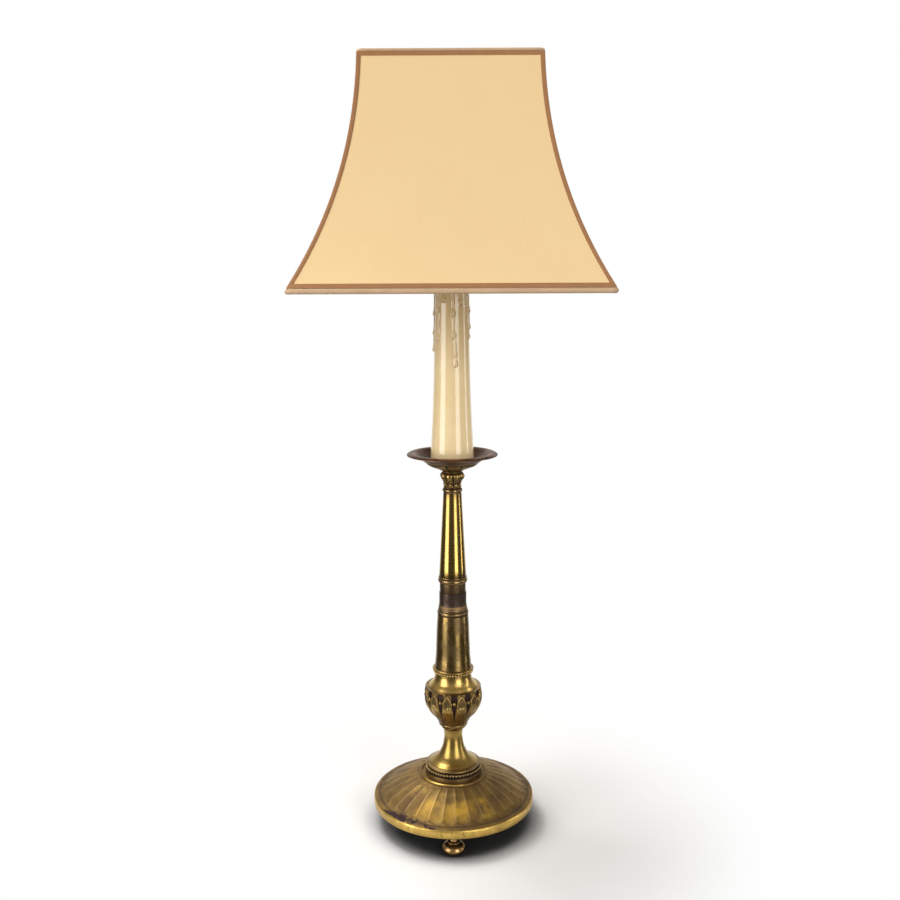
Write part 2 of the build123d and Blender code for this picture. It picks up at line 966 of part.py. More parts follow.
def drip_pan():
    """Spun pan: a bowl with a raised ridge and a drooping rim."""
    low = capital_top
    bowl_high = low + pan_bowl_height
    ridge = low + pan_ridge_height
    rim = low + pan_rim_height
    wall = pan_wall
    bowl = shaped(pan_hub_radius, pan_bowl_radius, low, bowl_high, pan_bowl_shares)
    flange = shaped(pan_bowl_radius, pan_ridge_radius, bowl_high, ridge - wall, pan_flange_shares)
    outer = bowl + flange[:-1]
    inner = [(radius - wall / 2, height + wall) for radius, height in outer]
    return turned(
        Polyline((tube_hole, low), (pan_hub_radius, low), bowl[0]),
        Spline(*outer, flange[-1]),
        Spline(flange[-1], (pan_rim_radius, rim), tangents=[(1, 0), (0.8, -1)]),
        Line((pan_rim_radius, rim), (pan_rim_radius, rim + wall / 2)),
        Spline((pan_rim_radius, rim + wall / 2), (pan_ridge_radius, ridge), tangents=[(-0.8, 1), (-1, 0)]),
        Spline((pan_ridge_radius, ridge), *reversed(inner), tangents=[(-1, 0), (-1, -0.2)]),
        Polyline(inner[0], (pan_hub_radius - wall, pan_floor), (tube_hole, pan_floor), (tube_hole, low)),
    )


def candle_seat():
    """Turned seat on the pan's floor that centres the candle."""
    spigot = candle_bore - slip_gap
    foot = pan_hub_radius - pan_wall * 2
    return turned_points(
        [
            (tube_hole, pan_floor),
            (foot, pan_floor),
            (seat_radius, candle_low - pan_wall),
            (seat_radius, candle_low),
            (spigot, candle_low),
            (spigot, candle_low + seat_spigot_height),
            (tube_hole, candle_low + seat_spigot_height),
        ]
    )


candle_curve_shares = [(1, 0), (0.585, 0.24), (0.285, 0.545), (0.0, 1)]

# Wax runs: turn from the front towards the right, height of the end as a share of the candle,
# and length as a share of the candle
drip_shares = [
    (6, 0.545, 0.42),
    (3, 0.79, 0.14),
    (-57, 0.685, 0.25),
    (-50, 0.8, 0.13),
    (-86, 0.81, 0.13),
    (-100, 0.72, 0.22),
    (-80, 0.615, 0.33),
    (101, 0.815, 0.12),
    (86, 0.73, 0.22),
    (70, 0.685, 0.26),
    (128, 0.66, 0.28),
    (156, 0.78, 0.16),
    (182, 0.6, 0.35),
    (-150, 0.75, 0.19),
    (-124, 0.64, 0.3),
]


def candle_curve():
    points = shaped(candle_top_radius, candle_foot_radius, candle_low, candle_top, candle_curve_shares)
    return Spline(*points)


def candle_radius(height):
    """Candle's outer radius at a height, between the named ends of its curve."""
    share = (height - candle_low) / candle_height
    lower = candle_curve_shares[0]
    for upper in candle_curve_shares[1:]:
        if share <= upper[1]:
            break
        lower = upper
    across = lower[0] + (upper[0] - lower[0]) * (share - lower[1]) / (upper[1] - lower[1])
    return candle_top_radius + (candle_foot_radius - candle_top_radius) * across


def wax_drip(turn, end_share, length_share):
    """One run of wax with a round bead at its lower end."""
    low = candle_low + candle_height * end_share + drip_radius
    high = min(low + candle_height * length_share, candle_top - wax_collar_height / 4)
    foot_point = Vector(0, drip_sink - candle_radius(low), low)
    head_point = Vector(0, drip_sink - candle_radius(high), high)
    run = head_point - foot_point
    run_radius = drip_radius - wax_thickness / 2
    stem = Plane(origin=foot_point, z_dir=run) * Cylinder(
        run_radius,
        run.length,
        align=(Align.CENTER, Align.CENTER, Align.MIN),
    )
    bead = Pos(foot_point) * Sphere(drip_radius)
    return Rot(0, 0, turn) * (stem + bead)


def candle_sleeve():
    """False wax candle: a hollow sleeve with a wax collar and hardened runs."""
    collar_low = candle_top - wax_collar_height
    edge = candle_curve()
    sleeve = turned(
        edge,
        Polyline(
            (candle_top_radius, candle_top),
            (candle_bore, candle_top),
            (candle_bore, candle_low),
            (candle_foot_radius, candle_low),
        ),
    )
    foot = candle_radius(collar_low)
    collar = turned_points(
        [
            (candle_bore, candle_top),
            (candle_bore, collar_low),
            (foot, collar_low),
            (foot + wax_thickness, collar_low + wax_thickness),
            (candle_top_radius + wax_thickness, candle_top - wax_thickness),
            (candle_top_radius, candle_top),
        ]
    )
    drips = [wax_drip(*drip) for drip in drip_shares]
    core = ring_of_holes(candle_bore, candle_low, candle_top, 0)
    return (sleeve + collar + drips) - core


def candle_cap():
    """Brass disc that closes the candle under the lamp holder."""
    spigot = candle_bore - slip_gap
    return turned_points(
        [
            (tube_hole, candle_top - candle_cap_spigot),
            (spigot, candle_top - candle_cap_spigot),
            (spigot, candle_top),
            (candle_top_radius, candle_top),
            (candle_top_radius, holder_low),
            (tube_hole, holder_low),
        ]
    )


dome_high = holder_shell_low - holder_neck_height
cap_neck_radius = holder_shell_radius - holder_wall - fit_gap
cap_neck_bore = cap_neck_radius - holder_wall
insert_radius = cap_neck_bore - slip_gap
insert_low = dome_high + holder_wall
insert_high = insert_low + insert_height
screw_shell_low = insert_high
screw_shell_high = screw_shell_low + screw_shell_height
bulb_tip_low = insert_high - insert_well_depth + contact_thickness + contact_rise + seat_gap


def holder_cap():
    """Lower half of the lamp holder, screwed on the tube."""
    neck_high = holder_low + holder_neck_height
    bore = tube_radius + fit_gap
    floor = neck_high + holder_wall * 2
    cap = turned(
        Polyline((bore, holder_low), (holder_neck_radius, holder_low), (holder_neck_radius, neck_high)),
        ThreePointArc(
            (holder_neck_radius, neck_high),
            dome_point(holder_cap_radius, neck_high),
            (holder_cap_radius, dome_high),
        ),
        Polyline(
            (holder_cap_radius, dome_high),
            (holder_cap_radius, holder_shell_low),
            (cap_neck_radius, holder_shell_low),
            (cap_neck_radius, holder_shell_low + holder_cap_neck_height),
            (cap_neck_bore, holder_shell_low + holder_cap_neck_height),
            (cap_neck_bore, insert_low),
            (cap_neck_bore - holder_wall, insert_low),
            (cap_neck_bore - holder_wall, dome_high),
        ),
        ThreePointArc(
            (cap_neck_bore - holder_wall, dome_high),
            dome_point(cap_neck_bore - holder_wall, floor),
            (holder_neck_radius, floor),
        ),
        Polyline((holder_neck_radius, floor), (bore, floor), (bore, holder_low)),
    )
    grub_hole = Rot(0, 90, 0) * Cylinder(grub_radius + fit_gap, holder_neck_radius)
    at_grub = Pos((holder_neck_radius + tube_radius) / 2, 0, holder_low + holder_neck_height / 2)
    return cap - at_grub * grub_hole


def dome_point(radius, low):
    """Point in the middle of the holder cap's dome, for its outer or inner face."""
    share = math.sqrt(1 / 2)
    across = holder_neck_radius + (radius - holder_neck_radius) * share
    return across, dome_high - (dome_high - low) * share


def grub_screw():
    """Small screw that locks the holder on the tube."""
    screw = Rot(0, 90, 0) * Cylinder(
        grub_radius,
        grub_length,
        align=(Align.CENTER, Align.CENTER, Align.MIN),
    )
    slot = Box(grub_radius, grub_radius * 3, grub_radius / 2)
    screw = screw - Pos(grub_length, 0, 0) * slot
    return Pos(tube_radius + fit_gap, 0, holder_low + holder_neck_height / 2) * screw


def thread_grooves(radius, depth, pitch, count, low):
    """Ring grooves that stand for a screw thread's profile."""
    half = pitch / 2
    outside = radius + depth
    groove = turned_points([(radius - depth, low), (outside, low - half), (outside, low + half)])
    return [Pos(0, 0, pitch * index) * groove for index in range(count)]


def holder_shell():
    """Upper sleeve of the holder with the thread for the shade rings."""
    low = holder_shell_low
    high = holder_top
    thread_low = high - holder_thread_pitch * (holder_thread_count + 1)
    bore = holder_shell_radius - holder_wall
    shell = turned_points(
        [
            (bore, low),
            (holder_shell_radius, low),
            (holder_shell_radius, thread_low),
            (holder_thread_radius, thread_low),
            (holder_thread_radius, high - holder_wall),
            (holder_shell_radius, high),
            (bore, high),
        ]
    )
    grooves = thread_grooves(
        holder_thread_radius,
        holder_thread_depth,
        holder_thread_pitch,
        holder_thread_count,
        thread_low + holder_thread_pitch,
    )
    return shell - grooves


def holder_insert():
    """Ceramic block that carries the contacts and the screw shell."""
    well_low = insert_high - insert_well_depth
    block = turned_points(
        [
            (tube_bore, insert_low),
            (insert_radius, insert_low),
            (insert_radius, insert_high),
            (insert_well_radius, insert_high),
            (insert_well_radius, well_low),
            (tube_bore, well_low),
        ]
    )
    hole = Cylinder(terminal_radius + fit_gap, insert_height * 3)
    for side in (-1, 1):
        block = block - Pos(0, side * terminal_offset, insert_low) * hole
    return block


def screw_shell():
    """Thin screw shell that the bulb's cap turns in, with a turned-in foot."""
    outer = screw_shell_bore + screw_shell_wall
    return turned_points(
        [
            (insert_well_radius, screw_shell_low),
            (outer, screw_shell_low),
            (outer, screw_shell_high),
            (screw_shell_bore, screw_shell_high),
            (screw_shell_bore, screw_shell_low + screw_shell_wall),
            (insert_well_radius, screw_shell_low + screw_shell_wall),
        ]
    )


def centre_contact():
    """Bent bronze tongue in the insert's well, under the bulb's tip."""
    low = insert_high - insert_well_depth
    half = contact_length / 2
    high = low + contact_rise
    thick = contact_thickness
    outline = Polyline(
        (-half, low),
        (half / 2, low),
        (half, high),
        (-half / 2, high),
        (-half / 2, high - thick),
        (half - thick * 2, high - thick),
        (half / 2 - thick, low + thick),
        (-half, low + thick),
        close=True,
    )
    strip = extrude(Plane.XZ * make_face(outline), contact_width)
    return Pos(0, contact_width / 2, 0) * strip


def terminal_screws():
    """Two brass terminal screws in the insert, reached from below."""
    screw = Cylinder(
        terminal_radius,
        terminal_length,
        align=(Align.CENTER, Align.CENTER, Align.MIN),
    )
    slot = Box(terminal_radius * 3, terminal_radius / 2, terminal_radius / 2)
    screw = screw - slot
    return Compound([Pos(0, side * terminal_offset, insert_low) * screw for side in (-1, 1)])


def shade_ring(flange_low, sleeve_low, sleeve_high):
    """Screwed ring with a knurled flange that clamps the shade's frame."""
    bore = holder_thread_radius + fit_gap
    flange_high = flange_low + ring_flange_thickness
    sleeve = ring_of_holes(ring_sleeve_radius, sleeve_low, sleeve_high, bore)
    flange = ring_of_holes(ring_flange_radius, flange_low, flange_high, bore)
    middle = (flange_low + flange_high) / 2
    knurl = radial(ring_flange_radius + knurl_radius / 3, middle) * Cylinder(
        knurl_radius,
        ring_flange_thickness * 2,
    )
    return flange + sleeve - around(knurl_count, 0, knurl)


def lower_shade_ring():
    flange_low = ring_plane - ring_flange_thickness
    return shade_ring(flange_low, ring_plane - ring_sleeve_height, ring_plane)


def upper_shade_ring():
    flange_low = ring_plane + seat_gap * 2 + spider_thickness
    return shade_ring(flange_low, flange_low, flange_low + ring_sleeve_height)


bulb_cone_low = bulb_tip_low + bulb_tip_height
bulb_cap_low = bulb_cone_low + bulb_cone_height
bulb_thread_high = bulb_cap_low + bulb_thread_pitch * bulb_thread_turns
bulb_cap_high = bulb_thread_high + bulb_skirt_height
bulb_glass_low = bulb_cap_high - bulb_skirt_height / 2


def bulb_contact():
    """Round solder tip under the bulb's cap."""
    return turned(
        Line((0, bulb_tip_low), (bulb_tip_radius / 2, bulb_tip_low)),
        bulged(
            (bulb_tip_radius / 2, bulb_tip_low),
            (bulb_tip_radius, bulb_cone_low),
            bulb_tip_height / 4,
        ),
        Polyline((bulb_tip_radius, bulb_cone_low), (0, bulb_cone_low), (0, bulb_tip_low)),
    )


def bulb_cap():
    """Screw cap of the bulb with its insulating cone."""
    core = bulb_thread_radius - bulb_thread_depth
    neck = bulb_neck_radius - bulb_glass_wall - slip_gap
    cap = turned_points(
        [
            (0, bulb_cone_low),
            (bulb_tip_radius, bulb_cone_low),
            (core, bulb_cap_low),
            (bulb_thread_radius, bulb_cap_low),
            (bulb_thread_radius, bulb_thread_high),
            (bulb_thread_radius, bulb_cap_high),
            (bulb_thread_radius - bulb_cap_wall, bulb_cap_high),
            (bulb_thread_radius - bulb_cap_wall, bulb_thread_high),
            (core - bulb_cap_wall, bulb_thread_high - bulb_cap_wall),
            (core - bulb_cap_wall, bulb_cap_low),
            (0, bulb_cap_low),
        ]
    )
    grooves = thread_grooves(
        bulb_thread_radius,
        bulb_thread_depth - bulb_cap_wall,
        bulb_thread_pitch,
        bulb_thread_turns,
        bulb_cap_low + bulb_thread_pitch / 2,
    )
    return cap - grooves


bulb_glass_shares = [(0.0, 0.0), (0.1, 0.16), (0.55, 0.36)]


def bulb_outline(inset):
    """Half outline of the glass, neck to crown."""
    centre = bulb_glass_low + bulb_length - bulb_radius
    neck = bulb_thread_radius - bulb_cap_wall - slip_gap - inset
    radius = bulb_radius - inset
    points = shaped(neck, radius, bulb_glass_low, centre + bulb_radius, bulb_glass_shares)
    crown = (0, centre + radius)
    side = (radius, centre)
    share = math.sqrt(1 / 2)
    flank = Spline(*points, side, tangents=[(0, 1), (0, 1)])
    dome = ThreePointArc(side, (radius * share, centre + radius * share), crown)
    return points[0], flank, dome, crown


def bulb_glass():
    """Hollow glass envelope."""
    outer_foot, outer_flank, outer_dome, outer_crown = bulb_outline(0)
    inner_foot, inner_flank, inner_dome, inner_crown = bulb_outline(bulb_glass_wall)
    return turned(
        outer_flank,
        outer_dome,
        Line(outer_crown, inner_crown),
        inner_dome,
        inner_flank,
        Line(inner_foot, outer_foot),
    )


def bulb_stem():
    """Glass stem that closes the envelope and carries the filament."""
    neck = bulb_thread_radius - bulb_cap_wall - slip_gap
    high = bulb_glass_low + stem_height
    low = bulb_glass_low - bulb_glass_wall
    return turned_points(
        [
            (0, low),
            (neck, low),
            (neck, bulb_glass_low),
            (stem_radius, bulb_glass_low),
            (stem_radius, bulb_glass_low + stem_height / 3),
            (stem_top_radius, bulb_glass_low + stem_height / 2),
            (stem_top_radius, high),
            (0, high),
        ]
    )


def bulb_filament():
    """Filament with the two wires that hold it on the stem."""
    base = bulb_glass_low + stem_height + support_radius
    high = bulb_glass_low + filament_height
    half = filament_span / 2
    wire = Pos(0, 0, high) * Rot(0, 90, 0) * Cylinder(filament_radius, filament_span)
    for side in (-1, 1):
        start = Vector(side * stem_top_radius / 2, 0, base)
        run = Vector(side * half, 0, high) - start
        wire = wire + Plane(origin=start, z_dir=run) * Cylinder(
            support_radius,
            run.length,
            align=(Align.CENTER, Align.CENTER, Align.MIN),
        )
    return wire


# Shade

shade_arc_share = 0.5


def shade_edge(offset):
    """Arc of a panel's face in half width and height, pushed outwards by an offset."""
    chord_x = shade_top_half - shade_bottom_half
    chord_z = shade_height
    chord = math.hypot(chord_x, chord_z)
    normal_x = chord_z / chord
    normal_z = -chord_x / chord
    middle_x = shade_bottom_half + chord_x * shade_arc_share
    middle_z = shade_low + chord_z * shade_arc_share
    arc = ThreePointArc(
        (shade_bottom_half, shade_low),
        (middle_x - normal_x * shade_sag, middle_z - normal_z * shade_sag),
        (shade_top_half, shade_top),
    )
    centre = arc.arc_center
    radius = arc.radius - offset
    points = []
    for share in (0, shade_arc_share, 1):
        direction = (arc @ share - centre).normalized()
        points.append(centre + direction * radius)
    return ThreePointArc(*points)


def half_width(height, offset):
    """Half width of the shade at a height, on the face pushed out by an offset."""
    arc = shade_edge(offset)
    centre = arc.arc_center
    return centre.X - math.sqrt(arc.radius**2 - (height - centre.Y) ** 2)


def sheet(inner, outer, low, high):
    """Layer of the front side between two offsets and two heights, over the full width."""
    inside = shade_edge(inner)
    outside = shade_edge(outer)
    face = make_face(
        [
            inside,
            Line(inside @ 1, outside @ 1),
            outside,
            Line(outside @ 0, inside @ 0),
        ]
    )
    side = Plane(origin=(0, 0, 0), x_dir=(0, -1, 0), z_dir=(-1, 0, 0)) * face
    width = (shade_bottom_half + outer + overrun) * 2
    strip = extrude(side, width / 2, both=True)
    slab = Pos(0, 0, low) * Box(
        width,
        width,
        high - low,
        align=(Align.CENTER, Align.CENTER, Align.MIN),
    )
    return strip & slab


def mitred(strip, gap):
    """Part of a front layer that lies between the two corner planes."""
    reach = shade_bottom_half * 2
    outline = Polyline((0, gap), (reach, gap + reach), (-reach, gap + reach), close=True)
    wedge = Rot(0, 0, 180) * extrude(make_face(outline), shade_top + overrun)
    return strip & wedge


def square_ring(strip):
    """Band round the shade from four mitred sides."""
    side = mitred(strip, 0)
    band = side
    for turn in (90, 180, 270):
        band = band + Rot(0, 0, turn) * side
    return band


def shade_panel():
    """Front fabric panel, bonded to a stiff lining."""
    strip = sheet(-panel_thickness, 0, shade_low, shade_top)
    return mitred(strip, mitre_gap)


def corner_trim():
    """Folded braid over the front right corner, between the two bands."""
    low = shade_low + trim_width + trim_gap
    high = shade_top - trim_width - trim_gap
    strip = sheet(trim_gap, trim_gap + trim_thickness, low, high)
    side = mitred(strip, 0) - mitred(strip, corner_trim_width)
    reach = shade_bottom_half * 2
    right = Pos(reach / 2, 0, 0) * Box(reach, reach * 2, shade_top * 2 + overrun)
    front_half = side & right
    left_half = side - right
    return front_half + Rot(0, 0, 90) * left_half


def corner_trims():
    return Compound(around(4, 0, corner_trim()))


def top_trim():
    strip = sheet(trim_gap, trim_gap + trim_thickness, shade_top - trim_width, shade_top)
    return square_ring(strip)


def bottom_trim():
    strip = sheet(trim_gap, trim_gap + trim_thickness, shade_low, shade_low + trim_width)
    return square_ring(strip)


def square_wire(half, height, wire, corner):
    """Round wire bent into a square with rounded corners."""
    path = Pos(0, 0, height) * RectangleRounded(half * 2, half * 2, corner).wire()
    section = Plane(origin=(0, -half, height), z_dir=(1, 0, 0)) * Circle(wire)
    return sweep(section, path=path)


def top_piping():
    """Ribbed braid along the shade's upper edge."""
    half = half_width(shade_top, 0) - panel_thickness
    height = shade_top + top_piping_radius + trim_gap
    return square_wire(half, height, top_piping_radius, piping_corner_radius)


def bottom_piping():
    """Ribbed roll along the shade's lower edge."""
    half = half_width(shade_low, 0) - bottom_piping_radius / 2
    height = shade_low - bottom_piping_radius - trim_gap
    return square_wire(half, height, bottom_piping_radius, piping_corner_radius)


wire_inset = panel_thickness + wire_radius + seat_gap
top_wire_height = shade_top - wire_radius
bottom_wire_height = shade_low + wire_radius


def top_wire():
    half = half_width(top_wire_height - wire_radius, -wire_inset)
    return square_wire(half, top_wire_height, wire_radius, wire_corner_radius)


def bottom_wire():
    half = half_width(bottom_wire_height + wire_radius, -wire_inset)
    return square_wire(half, bottom_wire_height, wire_radius, wire_corner_radius)


def corner_reach(height):
    """Distance from the axis at which a corner wire's centre follows the panels."""
    inset = wire_inset + wire_radius
    return half_width(height, -inset) * math.sqrt(2)


def corner_arc():
    """Centre line of a corner wire as one arc, in distance from the axis and height."""
    low = bottom_wire_height + wire_radius + seat_gap
    high = top_wire_height - wire_radius
    heights = [low, (low + high) / 2, high]
    return ThreePointArc(*[(corner_reach(height), height) for height in heights])


def wire_reach(height):
    """Distance from the axis to the corner wire's arc at a height."""
    arc = corner_arc()
    centre = arc.arc_center
    return centre.X - math.sqrt(arc.radius**2 - (height - centre.Y) ** 2)


def corner_wire():
    """Rib of the frame along one corner, bent to the shade's curve."""
    path = Plane.XZ * corner_arc()
    section = Plane(origin=path @ 0, z_dir=path % 0) * Circle(wire_radius)
    return Rot(0, 0, 45) * sweep(section, path=path)


def corner_wires():
    return Compound(around(4, 0, corner_wire()))


spider_low = ring_plane + seat_gap
spider_high = spider_low + spider_thickness


def spider_ring():
    """Flat ring of the frame, clamped on the lamp holder by the two shade rings."""
    return ring_of_holes(spider_radius, spider_low, spider_high, spider_hole)


def spider_arm():
    """Wire welded to the ring's edge and to a corner wire, cut to the corner wire's lean."""
    middle = (spider_low + spider_high) / 2
    start = spider_radius + trim_gap
    lean = math.atan2(
        wire_reach(middle - wire_radius) - wire_reach(middle + wire_radius),
        wire_radius * 2,
    )
    end = wire_reach(middle) - wire_radius / math.cos(lean) - trim_gap
    arm = Pos(start, 0, middle) * Rot(0, 90, 0) * Cylinder(
        wire_radius,
        wire_reach(middle) - start,
        align=(Align.CENTER, Align.CENTER, Align.MIN),
    )
    end_plane = Plane(origin=(end, 0, middle), z_dir=(math.cos(lean), 0, math.sin(lean)))
    return split(arm, bisect_by=end_plane, keep=Keep.BOTTOM)


def spider_arms():
    return Compound(around(arm_count, 45, spider_arm()))


nodes = {
    "base_dish": base_dish(),
    "bottom_cover": bottom_cover(),
    "ballast_weight": ballast_weight(),
    "cord_bushing": cord_bushing(),
    "central_tube": central_tube(),
    "base_washer": base_washer(),
    "base_nut": base_nut(),
    "foot_moulding": foot_moulding(),
    "bell_foot": bell_foot(),
    "wreath_ring": wreath_ring(),
    "leaf_cup": leaf_cup(),
    "urn_shoulder": urn_shoulder(),
    "beaded_ring": beaded_ring(),
    "lower_column": lower_column(),
    "lower_ring": lower_ring(),
    "column_band": column_band(),
    "column_collar": column_collar(),
    "upper_ring": upper_ring(),
    "upper_column": upper_column(),
    "capital_ring": capital_ring(),
    "leaf_capital": leaf_capital(),
    "drip_pan": drip_pan(),
    "candle_seat": candle_seat(),
    "candle_sleeve": candle_sleeve(),
    "candle_cap": candle_cap(),
    "holder_cap": holder_cap(),
    "grub_screw": grub_screw(),
    "holder_shell": holder_shell(),
    "holder_insert": holder_insert(),
    "screw_shell": screw_shell(),
    "centre_contact": centre_contact(),
    "terminal_screws": terminal_screws(),
    "lower_shade_ring": lower_shade_ring(),
    "upper_shade_ring": upper_shade_ring(),
    "bulb_contact": bulb_contact(),
    "bulb_cap": bulb_cap(),
    "bulb_glass": bulb_glass(),
    "bulb_stem": bulb_stem(),
    "bulb_filament": bulb_filament(),
    "spider_ring": spider_ring(),
    "spider_arms": spider_arms(),
    "corner_wires": corner_wires(),
    "top_wire": top_wire(),
    "bottom_wire": bottom_wire(),
    "corner_trims": corner_trims(),
    "top_trim": top_trim(),
    "bottom_trim": bottom_trim(),
    "top_piping": top_piping(),
    "bottom_piping": bottom_piping(),
}

for foot_name, turn in zip(("foot_front", "foot_right", "foot_left"), foot_turns()):
    nodes[foot_name] = Rot(0, 0, turn) * foot()

for panel_name, turn in zip(("panel_front", "panel_right", "panel_back", "panel_left"), (0, 90, 180, 270)):
    nodes[panel_name] = Rot(0, 0, turn) * shade_panel()

os.makedirs("parts", exist_ok=True)
for name, shape in nodes.items():
    export_step(shape, f"parts/{name}.step")
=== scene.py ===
import math

import bmesh
import bpy
from mathutils import Matrix, Vector, noise


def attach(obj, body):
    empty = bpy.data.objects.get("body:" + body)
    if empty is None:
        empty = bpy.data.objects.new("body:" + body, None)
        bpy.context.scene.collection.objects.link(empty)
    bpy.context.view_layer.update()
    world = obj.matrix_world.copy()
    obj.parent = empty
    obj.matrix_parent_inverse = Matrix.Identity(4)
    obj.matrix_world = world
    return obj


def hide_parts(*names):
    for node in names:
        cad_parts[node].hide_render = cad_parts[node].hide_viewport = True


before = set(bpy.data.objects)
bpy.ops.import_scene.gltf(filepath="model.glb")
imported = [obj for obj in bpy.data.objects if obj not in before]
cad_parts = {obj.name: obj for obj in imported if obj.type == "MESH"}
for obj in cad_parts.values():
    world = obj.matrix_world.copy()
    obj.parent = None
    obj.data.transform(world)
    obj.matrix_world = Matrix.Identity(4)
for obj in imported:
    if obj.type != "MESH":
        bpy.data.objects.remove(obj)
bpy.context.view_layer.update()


# Bun feet: three turned brass buns, each with a disc and a slim neck. A stud on top screws into
# the dish. Each profile is spun in one go, with radii and heights in millimetres from the table.

mm = 0.001


def smooth_line(points, count):
    """Points spaced along a smooth line through a few given ones."""
    line = []
    last = len(points) - 1
    for index in range(count):
        along = index * last / (count - 1)
        start = min(int(along), last - 1)
        t = along - start
        a = Vector(points[max(start - 1, 0)])
        b = Vector(points[start])
        c = Vector(points[start + 1])
        d = Vector(points[min(start + 2, last)])
        bend = a * -1 + b * 3 - c * 3 + d
        slope = a * 2 - b * 5 + c * 4 - d
        line.append(tuple((bend * t**3 + slope * t**2 + (c - a) * t + b * 2) / 2))
    return line


def eased(points, radius):
    """Outline whose corners of 28 degrees and more are rounded by a small radius."""
    line = []
    for index, point in enumerate(points):
        here = Vector(point)
        back = Vector(points[index - 1]) - here
        ahead = Vector(points[(index + 1) % len(points)]) - here
        free = point[0] != 0 and back.length and ahead.length
        if not free or 180 - math.degrees(back.angle(ahead)) < 28:
            line.append(point)
            continue
        reach = min(radius, back.length * 0.45, ahead.length * 0.45)
        start = here + back.normalized() * reach
        end = here + ahead.normalized() * reach
        for t in (0, 0.35, 0.65, 1):
            line.append(tuple(start * (1 - t) ** 2 + here * 2 * t * (1 - t) + end * t**2))
    return line


def turned(outline, segments, ease):
    """Solid spun about the lamp's axis from a closed outline of radius and height."""
    bm = bmesh.new()
    line = eased(outline, ease) if ease else outline
    verts = [bm.verts.new((radius * mm, 0, height * mm)) for radius, height in line]
    start = 0 if outline[0][0] > 0 else 1
    edges = [bm.edges.new((verts[i - 1], verts[i])) for i in range(start, len(verts))]
    about = {"cent": (0, 0, 0), "axis": (0, 0, 1), "angle": math.tau}
    bmesh.ops.spin(bm, geom=verts + edges, steps=segments, use_merge=True, **about)
    bmesh.ops.remove_doubles(bm, verts=bm.verts, dist=0.002 * mm)
    return bm


def reliefed(bm, rule):
    """Moves each point by a rule of its radius, its turn from the front and its height."""
    hollow = bm.verts.layers.float.get("hollow") or bm.verts.layers.float.new("hollow")
    for vert in bm.verts:
        radius = math.hypot(vert.co.x, vert.co.y) / mm
        turn = math.degrees(math.atan2(vert.co.x, -vert.co.y))
        new_radius, new_height, depth = rule(radius, turn, vert.co.z / mm)
        angle = math.radians(turn)
        vert.co = Vector((math.sin(angle) * new_radius, -math.cos(angle) * new_radius, new_height)) * mm
        vert[hollow] = depth
    return bm


def seamed(bm, heights, reach):
    """Marks the joints at some heights as hollows, where patina gathers."""

    def rule(radius, turn, height):
        near = min(abs(height - seam) for seam in heights)
        return radius, height, max(0.0, 1 - near / reach)

    return reliefed(bm, rule)


def piece(name, bm, look, body, nodes, sharp=40):
    """Finished object that stands for one or more nodes of the part."""
    bmesh.ops.remove_doubles(bm, verts=bm.verts, dist=0.002 * mm)
    bmesh.ops.recalc_face_normals(bm, faces=bm.faces)
    for face in bm.faces:
        face.smooth = True
    for edge in bm.edges:
        edge.smooth = len(edge.link_faces) == 2 and edge.calc_face_angle() < math.radians(sharp)
    mesh = bpy.data.meshes.new(name)
    bm.to_mesh(mesh)
    bm.free()
    mesh.materials.append(look)
    made = bpy.data.objects.new(name, mesh)
    bpy.context.scene.collection.objects.link(made)
    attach(made, body)
    if nodes:
        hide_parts(*nodes)
    return made


def feed(tree, node, values):
    """Sets a shader node's inputs, or links them to other nodes."""
    for key, value in values.items():
        if isinstance(value, bpy.types.NodeSocket):
            tree.links.new(value, node.inputs[key])
        else:
            node.inputs[key].default_value = value


def add(tree, kind, inputs=None, **settings):
    """New shader node with its settings and its inputs."""
    made = tree.nodes.new(kind)
    for key, value in settings.items():
        setattr(made, key, value)
    feed(tree, made, inputs or {})
    return made


def new_look(name):
    """Fresh material, its tree and its shader."""
    look = bpy.data.materials.new(name)
    look.use_nodes = True
    return look, look.node_tree, look.node_tree.nodes["Principled BSDF"]


def own_place(tree):
    """Place on the piece, in its own coordinates."""
    return add(tree, "ShaderNodeTexCoord").outputs["Object"]


def clouds(tree, place, scale, detail, roughness=0.5):
    """Noise pattern from 0 to 1."""
    settings = {"Vector": place, "Scale": scale, "Detail": detail, "Roughness": roughness}
    return add(tree, "ShaderNodeTexNoise", settings).outputs["Fac"]


def rise(tree, value, low, high, bottom=0.0, top=1.0):
    """Smooth step from one level to another between two values."""
    settings = {"Value": value, "From Min": low, "From Max": high, "To Min": bottom, "To Max": top}
    return add(tree, "ShaderNodeMapRange", settings, interpolation_type="SMOOTHSTEP").outputs[0]


def emboss(tree, shader, height, strength, distance):
    """Bump on a shader, from a height pattern."""
    made = add(tree, "ShaderNodeBump", {"Height": height, "Strength": strength, "Distance": distance})
    feed(tree, shader, {"Normal": made.outputs["Normal"]})


def ramp(tree, value, *stops):
    """Colour ramp through stops of position and grey level."""
    made = add(tree, "ShaderNodeValToRGB", {"Fac": value})
    elements = made.color_ramp.elements
    while len(elements) < len(stops):
        elements.new(0.5)
    for element, (position, level) in zip(elements, stops):
        element.position = position
        element.color = (level, level, level, 1)
    return made.outputs["Color"]


def blend_colour(tree, factor, first, second):
    """Mix of two colours; 0, 6 and 7 are the mix node's factor and colours."""
    return add(tree, "ShaderNodeMix", {0: factor, 6: first, 7: second}, data_type="RGBA").outputs[2]


def maths(tree, operation, first, second=0.0, third=0.0):
    """One step of arithmetic."""
    return add(tree, "ShaderNodeMath", {0: first, 1: second, 2: third}, operation=operation).outputs[0]


def times(tree, first, *others):
    """Product of a few values."""
    for other in others:
        first = maths(tree, "MULTIPLY", first, other)
    return first


